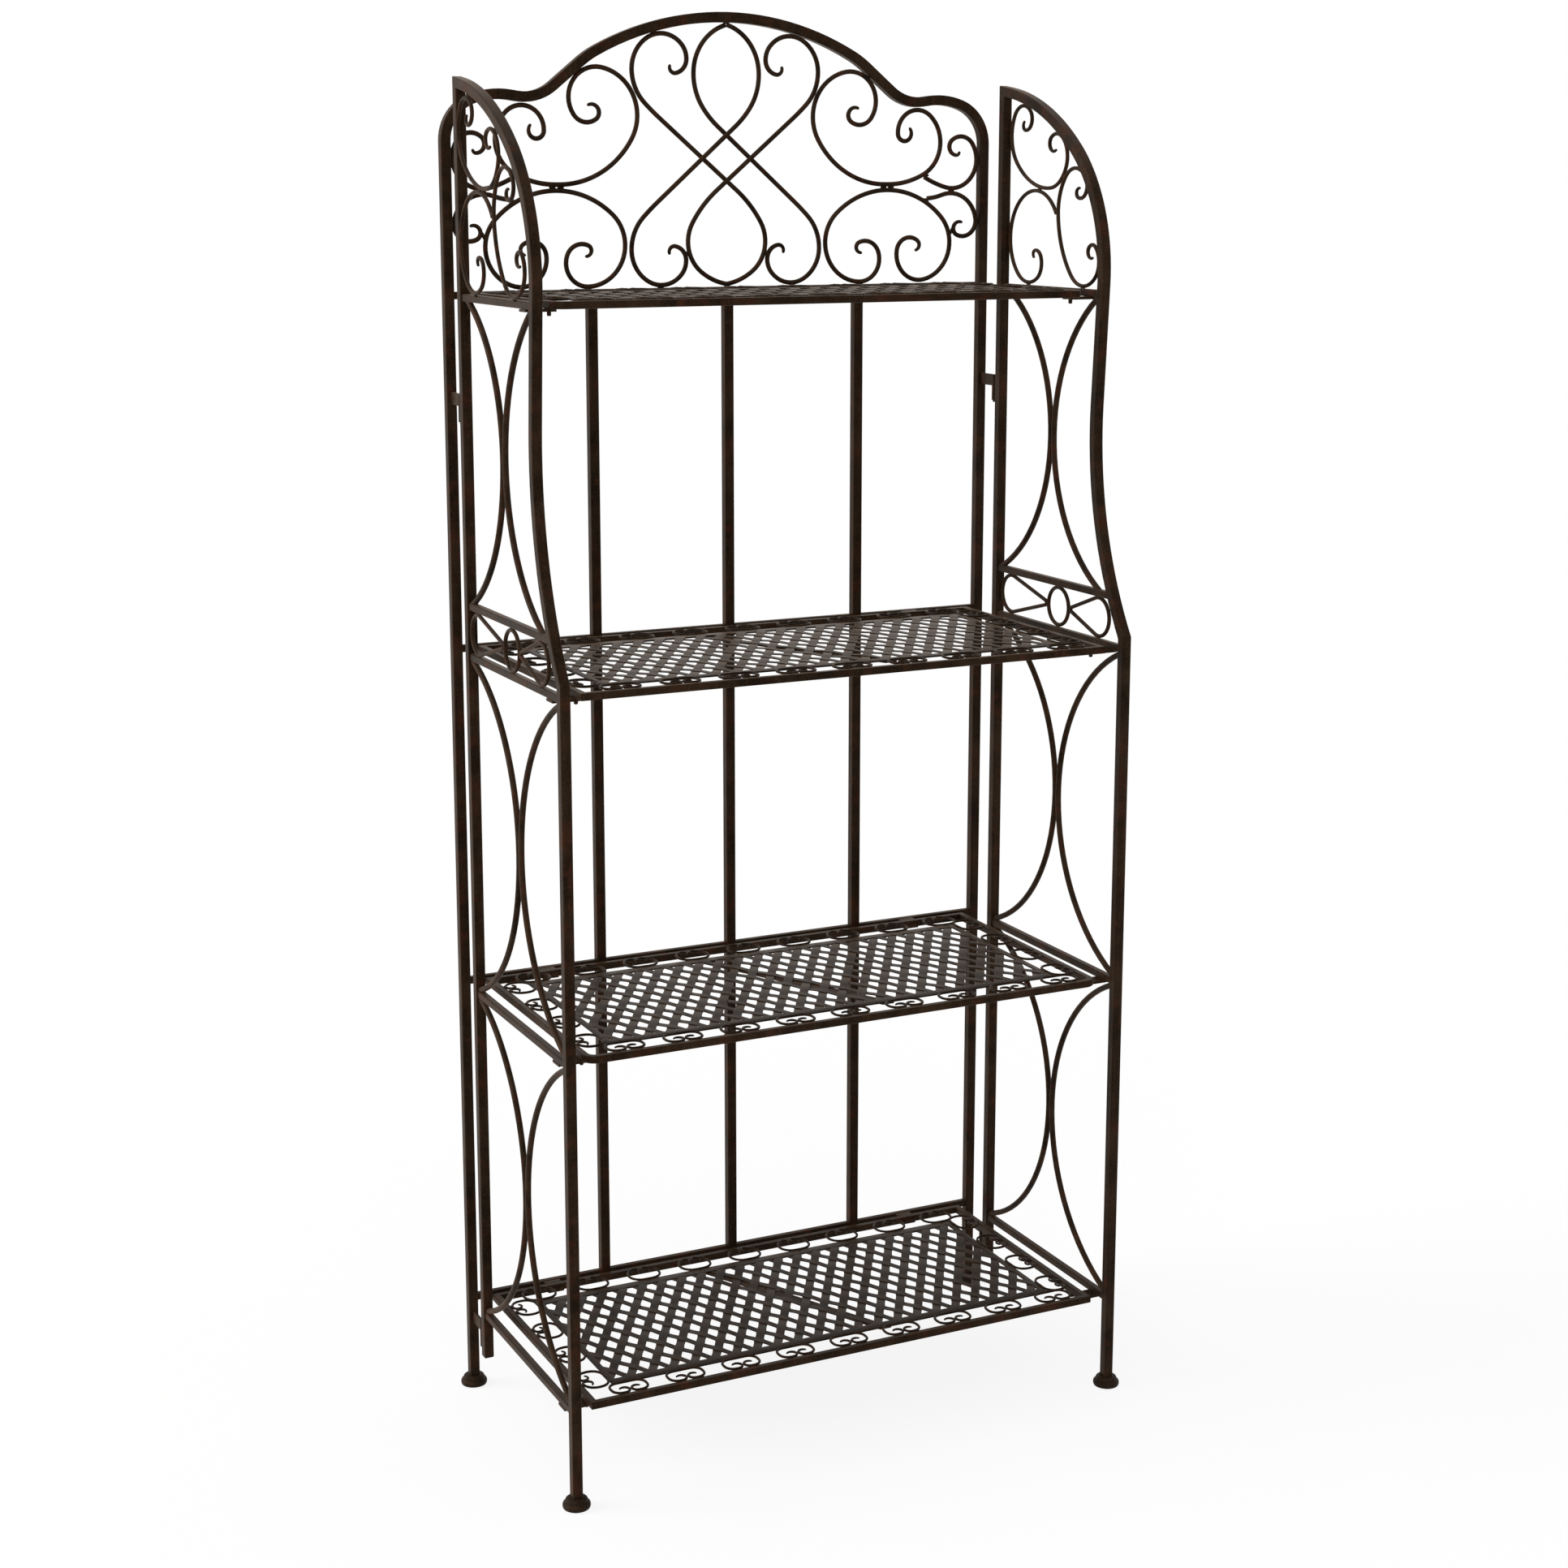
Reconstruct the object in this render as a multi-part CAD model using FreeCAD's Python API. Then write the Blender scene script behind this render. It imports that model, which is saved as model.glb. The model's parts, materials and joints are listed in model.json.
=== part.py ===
import FreeCAD, Part
import math
import os

# A tall folding bakers rack in welded steel: a back frame with a bow-shaped crest and a panel of
# scrolls, two side frames that swing on pins, and four woven shelves that fold up on straps.
# Millimetres. X runs across the rack, Y from front to back, Z up from the floor.
# The origin is on the floor under the middle of the rack.

Vector = FreeCAD.Vector
X_AXIS = Vector(1, 0, 0)
Y_AXIS = Vector(0, 1, 0)
Z_AXIS = Vector(0, 0, 1)

# Stock that the rack is welded from
POST = 12.7                 # square tube of the posts, legs, arches and uprights
POST_CORNER = 1.6           # its outside corner radius
POST_WALL = 1.2
BAR = 9.0                   # square tube of the crossbars, rails and shelf frames
BAR_CORNER = 1.6
BAR_WALL = 1.0
LENS_ROD = 7.5              # round rod of the bowed arcs in the sides
BACK_ROD = 6.0              # round rod of the back scrolls
SIDE_ROD = 5.0              # round rod of the side scrolls and the belt ornament
RIM_ROD = 3.5               # round wire of the small scrolls round each shelf panel
TOUCH = 0.1                 # clearance left where a rod is welded to its neighbour

# Where the frames stand
POST_X = 374.35             # middle of the back posts and of the side frames
BACK_Y = 184.0              # middle of the back frame
LEG_BACK = -368.35          # front legs, measured from the back frame
REAR_POST_BACK = -57.65     # rear posts of the side frames, measured from the back frame
UPRIGHT_X = 187.0           # outer uprights of the back frame
LEVELS = (117.0, 549.0, 981.0, 1418.0)   # undersides of the crossbars, rails and shelves

# Crest of the back frame: a bow with a dip on each side
CREST_TOP = 1761.35         # middle of the tube at the centre
CREST_BENDS = ((380, -28), (120, -11), 48, (60, 47), 10, (100, -28))
CREST_SHOULDER = -20        # heading of the tube where the last bend to the post begins

# Side frames
KINK_Z = 1000.0             # front leg meets the bent arch
ARCH_BENDS = ((470, 36.5), 150, (200, -53.5), (325, -32))
ARCH_LEAN = 57.0            # heading of the arch where it leaves the leg
REAR_POST_BOTTOM = 65.0
BELT_Z = 1044.0             # underside of the belt rail
BELT_OUTBOARD = 2.0         # the belt ornament stands this far outboard of the rails
SCROLL_OUTBOARD = 5.0       # and the top scrolls this far
LOOP_RADIUS = 24.5          # round end of the teardrop loops, to the middle of the rod
LOOP_TIP = 3.0              # bend at the loops' points

# Shelves
SHELF_HALF = 351.0          # half of the frame's width
SHELF_FRONT = -363.0        # front face, measured from the back frame
TOP_SHELF_FRONT = -298.0
HINGE_BACK = -17.5          # middle of the shelf's rear bar, which is its hinge pin
FRONT_CORNER = 12.0         # bend of the front corners, on the shelves that have them
PANEL_HALF = 309.0          # half of the woven panel's width
PANEL_REAR = -58.0          # rear edge, measured from the back frame
RIM_FRONT = 28.0            # gap between the front bar and the panel, filled by the rim scrolls
PANEL_THICK = 2.0
STRAND = 9.4                # width of the woven strands
WEAVE_X = 28.5              # diamonds across
WEAVE_Y = 46.7              # diamonds in depth
WEAVE_CORNER = 2.0          # rounding of the diamond holes
WEAVE_START = 22.7          # first row of diamonds, from the panel's rear edge to their middle
WEAVE_BORDER_X = 8.0        # plain border strips
WEAVE_BORDER_Y = 14.0
BRACE_WIDTH = 14.0          # flat strap under the panel
BRACE_THICK = 2.0
BRACE_RUN = 68.0            # half of its run across the panel
RIM_PITCH = 74.3            # rim scrolls across
RIM_COUNT = 9
RIM_SIDE_PITCH = 77.0       # and along the sides
RIM_SIDE_START = -73.0
RIM_LENGTH = 50.0
RIM_OFFSET = 5.0            # the front row sits a little to the right
RIM_END_BEND = 11.0         # round ends of the scrolls, against the panel and the bar
RIM_FOOT_BEND = 7.0         # from the bar up to where the two ends meet
RIM_CURL_BEND = 6.5         # and the curled end itself
RIM_CURL_TURN = -150.0

# Hinges, stops and feet
STRAP_X = 265.0             # middle of the shelf hinge straps
STRAP_WIDTH = 22.0
STRAP_THICK = 1.5
STRAP_BORE = 5.9            # the rounded square bar turns inside this radius
PIN_BACK = -41.0            # side hinge pins, measured from the back frame
PIN_RADIUS = 2.5
PIN_FIT = 0.08
SLEEVE_RADIUS = 4.0
HOOK_TOPS = (104.0, 1306.0)
HOOK_HEIGHT = 15.0
HOOK_THICK = 3.0
SLEEVE_HEIGHT = 18.8
SLEEVE_GAP = 0.2            # between the hook and the sleeve under it
TAB_THICK = 3.0             # shelf rests under the side rails
TAB_WIDTH = 20.0
TAB_FROM_FRONT = 28.0       # middle of the tab, behind the shelf's front face
TAB_GAP = 0.2               # between the tab and the shelf above
PEG_RADIUS = 2.5
PEG_LENGTH = 12.0
PEG_SLOT = 8.0
FOOT_RADIUS = 17.0
FOOT_HEIGHT = 8.5
FOOT_RIM = 5.5
STEM_RADIUS = 4.5           # foot plug inside the post
STEM_LENGTH = 12.0

# Scrolls, each a start point, a heading and a run of bends (radius, turn) and straights
TAIL = ((300, 5), (58, 45), (45, 60), (36, 80), (27, 40), (18, 80), (7, 130))
HEART = ((0, 1751.9), 197, ((62, 68), (74, 40), (120, 14), 144))
UPTURNED_HEART = ((0, 1430.1), 172, ((78, -30), (48, -82), (150, -20), 140))
UPPER_C = ((189, 1651), 145,
           ((10, 180), (21, 90), (37, 135), (58, 110), (112, 60), 6, (112, 28), (46, 110), (29, 135), (10, 225)))
LOWER_C = ((194.5, 1467.7), 194,
           ((7, -170), (21, -95), (29, -110), (51, -136), (110, -90), (49, -120), (34, -113), (19, -120), (7, -140)))
UPPER_SMALL_C = ((338.4, 1598), -75, ((4, -105), (11, -140), (21, -95), (37, -140), (137, -12.7)))
LOWER_SMALL_C = ((296, 1537.5), 6, ((70, 14), (39, -102), (20, -124), (9, -186)))
SIDE_UPPER = ((-99, 1635.5), -23,
              ((6, -147), (14, -145), (25, -105), (50, -75), (108, -48), (44, -65), (30, -85), (22, -60), (10, -190)))
SIDE_FRONT = ((-235.8, 1550.3), 26,
              ((6, -185), (15, -142), (30, -107), (66, -46), (120, -40), (40, -90), (26, -92), (11, -88), (8, -170)))
SIDE_REAR = ((-128.2, 1462), 23, ((5, 148), (14, 77), (22, 81), (40, 70), (61, 195)))

# Bowed arcs in the sides: panel bottom and top, where the pair touches, and how far back each
# arc stands at the panel's top and bottom
LENS_PANELS = (
    (BELT_Z + BAR, LEVELS[3], -189, (-292, -305), (-77, -71)),
    (LEVELS[1] + BAR, LEVELS[2], -217, (-366, -366), (-60, -60)),
    (LEVELS[0] + BAR, LEVELS[1], -217, (-366, -366), (-60, -60)),
)

# Sizes that follow
HALF_POST = POST / 2
HALF_BAR = BAR / 2
RAIL_REAR = REAR_POST_BACK - HALF_POST
RAIL_FRONT = LEG_BACK + HALF_POST
TRIM_REACH = 6 * POST


def heading(degrees):
    """Unit direction in a drawing plane."""
    return math.cos(math.radians(degrees)), math.sin(math.radians(degrees))


def trace(plane, start, direction, steps):
    """Edges of a run of tangent bends and straights in a plane, with the end point and heading.

    A step is a straight length, or a bend given as (radius, turn), left turns positive.
    """
    origin, across, up = plane
    x, y = start
    edges = []

    def place(a, b):
        return origin + across * a + up * b

    for step in steps:
        if isinstance(step, tuple):
            radius, turn = step
            side = math.copysign(radius, turn)
            cos_now, sin_now = heading(direction)
            centre_x, centre_y = x - side * sin_now, y + side * cos_now
            cos_mid, sin_mid = heading(direction + turn / 2)
            direction += turn
            cos_end, sin_end = heading(direction)
            middle = place(centre_x + side * sin_mid, centre_y - side * cos_mid)
            end_x, end_y = centre_x + side * sin_end, centre_y - side * cos_end
            edges.append(Part.Arc(place(x, y), middle, place(end_x, end_y)).toShape())
        else:
            cos_now, sin_now = heading(direction)
            end_x, end_y = x + step * cos_now, y + step * sin_now
            edges.append(Part.makeLine(place(x, y), place(end_x, end_y)))
        x, y = end_x, end_y
    return edges, (x, y), direction


def sweep(path, section, normal):
    """Solid of a section carried along a flat path, upright to the plane's normal."""
    pipe = Part.BRepOffsetAPI.MakePipeShell(path)
    pipe.setBiNormalMode(normal)
    pipe.add(section)
    pipe.build()
    pipe.makeSolid()
    return pipe.shape()


def rod(edges, diameter, normal):
    """Round rod bent along a flat run of edges."""
    path = Part.Wire(edges)
    first = path.OrderedEdges[0]
    start = first.valueAt(first.FirstParameter)
    tangent = first.tangentAt(first.FirstParameter)
    circle = Part.Circle(start, tangent, diameter / 2).toShape()
    return sweep(path, Part.Wire([circle]), normal)


def rounded_square(centre, across, up, size, corner):
    """Outline of a square section with rounded corners."""
    half = size / 2
    flat = half - corner
    bulge = flat + corner * math.sqrt(0.5)
    edges = []
    for quarter in range(4):
        cos_q, sin_q = heading(90 * quarter)

        def place(a, b):
            return centre + across * (a * cos_q - b * sin_q) + up * (a * sin_q + b * cos_q)

        edges.append(Part.makeLine(place(half, -flat), place(half, flat)))
        edges.append(Part.Arc(place(half, flat), place(bulge, bulge), place(flat, half)).toShape())
    return Part.Wire(edges)


def straight_tube(start, end, size, corner, wall):
    """Square tube between two points, with its flats facing along the rack's axes."""
    run = end - start
    across = Y_AXIS if abs(run.x) > abs(run.y) + abs(run.z) else X_AXIS
    up = Vector(run).normalize().cross(across)
    outer = rounded_square(start, across, up, size, corner)
    inner = rounded_square(start, across, up, size - 2 * wall, corner - wall / 2)
    return Part.makeFace([outer, inner], "Part::FaceMakerBullseye").extrude(run)


def post_tube(start, end):
    return straight_tube(start, end, POST, POST_CORNER, POST_WALL)


def bar_tube(start, end):
    return straight_tube(start, end, BAR, BAR_CORNER, BAR_WALL)


def bent_solid(edges, normal, size, corner):
    """Solid of a rounded square section bent along a flat run of edges."""
    path = Part.Wire(edges)
    first = path.OrderedEdges[0]
    start = first.valueAt(first.FirstParameter)
    up = first.tangentAt(first.FirstParameter).cross(normal)
    return sweep(path, rounded_square(start, normal, up, size, corner), normal)


def bent_tube(edges, normal, size, corner, wall):
    """Square tube bent along a flat run of edges."""
    outer = bent_solid(edges, normal, size, corner)
    return outer.cut(bent_solid(edges, normal, size - 2 * wall, corner - wall / 2))


def trim(shape, point, direction):
    """A shape without its end ahead of a plane through a point, facing the direction."""
    end = Part.makeBox(TRIM_REACH, TRIM_REACH, TRIM_REACH, Vector(-TRIM_REACH / 2, -TRIM_REACH / 2, 0))
    end.Placement = FreeCAD.Placement(point, FreeCAD.Rotation(Z_AXIS, direction))
    return shape.cut(end)


def mirrored(shape):
    """Copy on the other side of the rack."""
    return shape.mirror(Vector(0, 0, 0), X_AXIS)


def with_mirror(shapes):
    """A list of shapes followed by their mirror copies."""
    return list(shapes) + [mirrored(shape) for shape in shapes]


def block(x_span, y_span, z_span):
    """Box between two planes each way."""
    corner = Vector(x_span[0], y_span[0], z_span[0])
    return Part.makeBox(x_span[1] - x_span[0], y_span[1] - y_span[0], z_span[1] - z_span[0], corner)


def save(node, shapes):
    """Writes one piece, or a group of like pieces, as a STEP file."""
    shapes = shapes if isinstance(shapes, list) else [shapes]
    solids = [solid for shape in shapes for solid in shape.Solids]
    assert solids and all(solid.isValid() and solid.Volume > 0 for solid in solids), node
    shape = solids[0] if len(solids) == 1 else Part.makeCompound(solids)
    shape.exportStep("parts/" + node + ".step")
    print(node, len(solids), round(shape.Volume))


# --- Back frame -----------------------------------------------------------------------------

BACK_PLANE = (Vector(0, BACK_Y, 0), X_AXIS, Z_AXIS)


def build_crest():
    """Crest from post to post, and the height at which it meets them."""
    edges, corner, direction = trace(BACK_PLANE, (0, CREST_TOP), 0, CREST_BENDS)
    radius = (POST_X - corner[0]) / (1 - math.sin(math.radians(-CREST_SHOULDER)))
    last, end, direction = trace(BACK_PLANE, corner, CREST_SHOULDER, ((radius, -90 - CREST_SHOULDER),))
    right = edges + last
    left = [mirrored(edge) for edge in right]
    path = Part.__sortEdges__(left + right)
    return bent_tube(path, Y_AXIS, POST, POST_CORNER, POST_WALL), end[1]


def build_crossbars():
    """Crossbars of the four levels; the uprights run through the middle two."""
    ends = POST_X - HALF_POST
    whole = ((-ends, ends),)
    cuts = (UPRIGHT_X - HALF_POST, UPRIGHT_X + HALF_POST)
    pieces = ((-ends, -cuts[1]), (-cuts[0], -HALF_POST), (HALF_POST, cuts[0]), (cuts[1], ends))
    bars = []
    for level, spans in zip(LEVELS, (whole, pieces, pieces, whole)):
        for left, right in spans:
            middle = level + HALF_BAR
            bars.append(bar_tube(Vector(left, BACK_Y, middle), Vector(right, BACK_Y, middle)))
    return bars


def build_uprights():
    """Three uprights between the bottom and the top crossbar."""
    return [post_tube(Vector(x, BACK_Y, LEVELS[0] + BAR), Vector(x, BACK_Y, LEVELS[3]))
            for x in (-UPRIGHT_X, 0, UPRIGHT_X)]


def back_scroll(scroll, depth=0.0):
    """Scroll of the back panel, set forward (-) or back (+) of the frame's middle."""
    start, direction, steps = scroll
    plane = (Vector(0, BACK_Y + depth, 0), X_AXIS, Z_AXIS)
    return rod(trace(plane, start, direction, steps)[0], BACK_ROD, Y_AXIS)


def build_centre_scrolls():
    """The four long rods that cross in the middle: one pair in front, one pair behind."""
    layer = (BACK_ROD + TOUCH) / 2
    left_tail = tuple((radius, -turn) for radius, turn in TAIL)
    heart = (HEART[0], HEART[1], HEART[2] + left_tail)
    upturned = (UPTURNED_HEART[0], UPTURNED_HEART[1], UPTURNED_HEART[2] + TAIL)
    front = [mirrored(back_scroll(heart, -layer)), back_scroll(upturned, -layer)]
    rear = [back_scroll(heart, layer), mirrored(back_scroll(upturned, layer))]
    return front, rear


def build_strap(x, level):
    """Hinge strap: welded on the crossbar and rolled round the shelf's rear bar."""
    outer = STRAP_BORE + STRAP_THICK
    axis = Vector(x - STRAP_WIDTH / 2, BACK_Y + HINGE_BACK, level + HALF_BAR)
    ring = Part.makeCylinder(outer, STRAP_WIDTH, axis, X_AXIS)
    leaf = block((x - STRAP_WIDTH / 2, x + STRAP_WIDTH / 2), (axis.y, BACK_Y + HALF_BAR),
                 (level + BAR, level + BAR + STRAP_THICK))
    return ring.fuse(leaf).cut(Part.makeCylinder(STRAP_BORE, STRAP_WIDTH, axis, X_AXIS)).removeSplitter()


def build_hook(top):
    """Hinge hook on the back post: a plate with a pin that points down, right side."""
    bottom = top - HOOK_HEIGHT
    pin_y = BACK_Y + PIN_BACK
    plate = block((POST_X - HOOK_THICK / 2, POST_X + HOOK_THICK / 2), (pin_y, BACK_Y - HALF_POST), (bottom, top))
    eye = Part.makeCylinder(SLEEVE_RADIUS, HOOK_HEIGHT, Vector(POST_X, pin_y, bottom))
    pin_length = SLEEVE_HEIGHT + SLEEVE_GAP + PIN_RADIUS
    pin = Part.makeCylinder(PIN_RADIUS, pin_length, Vector(POST_X, pin_y, bottom - pin_length))
    return plate.fuse([eye, pin]).removeSplitter()


def build_foot(x, y):
    """Bun foot with a plug that fits inside the tube above it."""
    shoulder = FOOT_HEIGHT - FOOT_RIM
    edges, top, _ = trace((Vector(x, y, 0), X_AXIS, Z_AXIS), (FOOT_RADIUS, 0), 90, (FOOT_RIM, (shoulder, 90)))
    rim = [Vector(x + reach, y, z) for reach, z in
           ((top[0], FOOT_HEIGHT), (STEM_RADIUS, FOOT_HEIGHT), (STEM_RADIUS, FOOT_HEIGHT + STEM_LENGTH),
            (0, FOOT_HEIGHT + STEM_LENGTH), (0, 0), (FOOT_RADIUS, 0))]
    lines = [Part.makeLine(a, b) for a, b in zip(rim, rim[1:])]
    return Part.Face(Part.Wire(edges + lines)).revolve(Vector(x, y, 0), Z_AXIS, 360)


def build_back_frame():
    crest, shoulder_z = build_crest()
    save("crest", crest)
    post = post_tube(Vector(POST_X, BACK_Y, FOOT_HEIGHT), Vector(POST_X, BACK_Y, shoulder_z))
    save("back_post_right", post)
    save("back_post_left", mirrored(post))
    save("back_crossbars", build_crossbars())
    save("back_uprights", build_uprights())
    front, rear = build_centre_scrolls()
    save("centre_scrolls_front", front)
    save("centre_scrolls_rear", rear)
    save("upper_c_scrolls", with_mirror([back_scroll(UPPER_C)]))
    save("lower_c_scrolls", with_mirror([back_scroll(LOWER_C)]))
    save("small_c_scrolls", with_mirror([back_scroll(UPPER_SMALL_C), back_scroll(LOWER_SMALL_C)]))
    save("shelf_hinge_straps", [build_strap(x, level) for level in LEVELS for x in (-STRAP_X, STRAP_X)])
    save("side_hinge_hooks", with_mirror([build_hook(top) for top in HOOK_TOPS]))
    save("back_feet", with_mirror([build_foot(POST_X, BACK_Y)]))


# --- Side frames, drawn on the right ----------------------------------------------------------

def side_plane(outboard=0.0):
    """Drawing plane of a side frame: first axis from the back frame, second up."""
    return Vector(POST_X + outboard, BACK_Y, 0), Y_AXIS, Z_AXIS


def side_point(back, z):
    return Vector(POST_X, BACK_Y + back, z)


def side_bar(front, rear, level):
    """Rail of a side frame between two places behind the back frame's line."""
    return bar_tube(side_point(front, level + HALF_BAR), side_point(rear, level + HALF_BAR))


def build_leg_arch_and_post():
    """Front leg, bent arch and rear post, mitred to each other, and the arch's outer solid."""
    kink = side_point(LEG_BACK, KINK_Z)
    cos_lean, sin_lean = heading(ARCH_LEAN)
    mitre = Vector(0, cos_lean, sin_lean + 1).normalize()
    leg = post_tube(side_point(LEG_BACK, FOOT_HEIGHT), side_point(LEG_BACK, KINK_Z + POST))
    leg = trim(leg, kink, mitre)

    lead = (LEG_BACK - POST * cos_lean, KINK_Z - POST * sin_lean)
    edges, end, direction = trace(side_plane(), lead, ARCH_LEAN, (POST,) + ARCH_BENDS)
    cos_end, sin_end = heading(direction)
    corner_z = end[1] + (REAR_POST_BACK - end[0]) * sin_end / cos_end
    edges += trace(side_plane(), end, direction, ((REAR_POST_BACK - end[0]) / cos_end + POST,))[0]
    corner = side_point(REAR_POST_BACK, corner_z)
    top_mitre = Vector(0, cos_end, sin_end - 1).normalize()
    outer = trim(trim(bent_solid(edges, X_AXIS, POST, POST_CORNER), corner, top_mitre), kink, -mitre)
    arch = outer.cut(bent_solid(edges, X_AXIS, POST - 2 * POST_WALL, POST_CORNER - POST_WALL / 2))

    post = post_tube(side_point(REAR_POST_BACK, REAR_POST_BOTTOM), corner + Z_AXIS * 2 * POST)
    post = trim(post, corner, -top_mitre)
    return leg, arch, post, outer


def build_rails(arch_outer):
    """Rails of the four levels; the top one stops at the arch."""
    rails = [side_bar(RAIL_FRONT, RAIL_REAR, level) for level in LEVELS[:3]]
    top = side_bar(RAIL_FRONT, RAIL_REAR, LEVELS[3]).cut(arch_outer)
    rails.append(rear_piece(top))
    return rails


def rear_piece(shape):
    """The solid that reaches furthest back, where a cut left pieces on both sides."""
    return max(shape.Solids, key=lambda solid: solid.BoundBox.YMax)


def build_belt_ornament():
    """Ring between two teardrop loops, in the gap under the belt rail."""
    plane = side_plane(BELT_OUTBOARD)
    gap_low = LEVELS[2] + BAR
    middle_z = (gap_low + BELT_Z) / 2
    ring_radius = (BELT_Z - gap_low - SIDE_ROD) / 2 - TOUCH
    ring_back = (RAIL_FRONT + RAIL_REAR) / 2 + 4
    ring_centre = Vector(plane[0].x, BACK_Y + ring_back, middle_z)
    ring = Part.makeTorus(ring_radius, SIDE_ROD / 2, ring_centre, X_AXIS)
    reach = ring_radius + SIDE_ROD + TOUCH
    front_tip = ring_back - reach
    front_end = RAIL_FRONT + 32.5
    rear_tip = ring_back + reach
    rear_end = RAIL_REAR - SIDE_ROD / 2 - TOUCH
    loops = [teardrop(plane, front_tip, front_end, middle_z), teardrop(plane, rear_tip, rear_end, middle_z)]
    return [ring] + loops


def teardrop(plane, tip, end, middle_z):
    """Closed loop of rod with its point at the tip and its round end at the other place."""
    side = math.copysign(1, end - tip)
    centre = end - side * LOOP_RADIUS
    point = tip + side * LOOP_TIP
    half = math.degrees(math.asin((LOOP_RADIUS - LOOP_TIP) / abs(centre - point)))
    straight = abs(centre - point) * math.cos(math.radians(half))
    origin = plane[0] + Y_AXIS * centre + Z_AXIS * middle_z
    local = (origin, Y_AXIS * side, Z_AXIS)
    cos_half, sin_half = heading(half)
    start = (-LOOP_RADIUS * sin_half, -LOOP_RADIUS * cos_half)
    steps = ((LOOP_RADIUS, 180 + 2 * half), straight, (LOOP_TIP, 180 - 2 * half), straight)
    return rod(trace(local, start, -half, steps)[0], SIDE_ROD, X_AXIS)


def build_lens_arcs(arch_outer):
    """Pairs of bowed arcs that touch back to back, cut off at the rails, posts and arch."""
    arcs = []
    shift = LENS_ROD / 2 + TOUCH / 2
    for low, high, touch, front_ends, rear_ends in LENS_PANELS:
        room = block((POST_X - POST, POST_X + POST), (BACK_Y + RAIL_FRONT + TOUCH, BACK_Y + RAIL_REAR - TOUCH), (low, high))
        for ends, middle in ((front_ends, touch - shift), (rear_ends, touch + shift)):
            points = side_point(ends[0], high), side_point(middle, (low + high) / 2), side_point(ends[1], low)
            arc = Part.Arc(*points).toShape()
            extra = (arc.LastParameter - arc.FirstParameter) / 10
            longer = Part.ArcOfCircle(arc.Curve, arc.FirstParameter - extra, arc.LastParameter + extra)
            arcs.append(rod([longer.toShape()], LENS_ROD, X_AXIS).common(room).cut(arch_outer))
    return arcs


def build_side_scrolls():
    """Three scrolls between the arch and the top rail."""
    plane = side_plane(SCROLL_OUTBOARD)
    return [rod(trace(plane, *scroll)[0], SIDE_ROD, X_AXIS) for scroll in (SIDE_UPPER, SIDE_FRONT, SIDE_REAR)]


def shelf_front(level):
    """How far behind the back frame's line a shelf's front face is."""
    return TOP_SHELF_FRONT if level == LEVELS[3] else SHELF_FRONT


def build_tab(level):
    """Shelf rest: a plate welded under the rail, slotted for the shelf's peg and open inwards."""
    middle_y = BACK_Y + shelf_front(level) + TAB_FROM_FRONT
    inner = SHELF_HALF - BAR - 1
    top = level - TAB_GAP
    plate = block((inner, POST_X + HALF_BAR), (middle_y - TAB_WIDTH / 2, middle_y + TAB_WIDTH / 2), (top - TAB_THICK, top))
    peg_x = SHELF_HALF - HALF_BAR
    slot = block((inner - 1, peg_x), (middle_y - PEG_SLOT / 2, middle_y + PEG_SLOT / 2), (top - TAB_THICK, top))
    slot_end = Part.makeCylinder(PEG_SLOT / 2, TAB_THICK, Vector(peg_x, middle_y, top - TAB_THICK))
    return plate.cut(slot.fuse(slot_end))


def build_sleeve(top):
    """Hinge sleeve on the rear post, under the hook of the back frame."""
    pin_y = BACK_Y + PIN_BACK
    bottom = top - HOOK_HEIGHT - SLEEVE_GAP - SLEEVE_HEIGHT
    tube = Part.makeCylinder(SLEEVE_RADIUS, SLEEVE_HEIGHT, Vector(POST_X, pin_y, bottom))
    web = block((POST_X - HOOK_THICK / 2, POST_X + HOOK_THICK / 2),
                (BACK_Y + REAR_POST_BACK + HALF_POST, pin_y), (bottom + 1, bottom + SLEEVE_HEIGHT - 1))
    bore = Part.makeCylinder(PIN_RADIUS + PIN_FIT, SLEEVE_HEIGHT, Vector(POST_X, pin_y, bottom))
    return tube.fuse(web).cut(bore).removeSplitter()


def build_post_plug():
    """Rounded cap in the open bottom end of the rear post."""
    cap_height = 3.0
    centre = side_point(REAR_POST_BACK, REAR_POST_BOTTOM - cap_height)
    cap = Part.Face(rounded_square(centre, X_AXIS, Y_AXIS, POST, POST_CORNER)).extrude(Z_AXIS * cap_height)
    lower_edges = [edge for edge in cap.Edges if abs(edge.BoundBox.ZMax - centre.z) < TOUCH]
    cap = cap.makeFillet(cap_height * 0.6, lower_edges)
    return cap.fuse(Part.makeCylinder(STEM_RADIUS, STEM_LENGTH, centre + Z_AXIS * cap_height / 2)).removeSplitter()


def build_side_frames():
    leg, arch, post, arch_outer = build_leg_arch_and_post()
    belt = rear_piece(side_bar(RAIL_FRONT, RAIL_REAR, BELT_Z).cut(arch_outer))
    pieces = {
        "front_leg": [leg],
        "arch": [arch],
        "rear_post": [post],
        "rails": build_rails(arch_outer),
        "belt_rail": [belt],
        "belt_ornament": build_belt_ornament(),
        "lens_arcs": build_lens_arcs(arch_outer),
        "side_scrolls": build_side_scrolls(),
        "shelf_tabs": [build_tab(level) for level in LEVELS],
        "hinge_sleeves": [build_sleeve(top) for top in HOOK_TOPS],
        "front_foot": [build_foot(POST_X, BACK_Y + LEG_BACK)],
        "rear_post_plug": [build_post_plug()],
    }
    for name, shapes in pieces.items():
        save("right_" + name, shapes)
        save("left_" + name, [mirrored(shape) for shape in shapes])


# --- Shelves ----------------------------------------------------------------------------------

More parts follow.
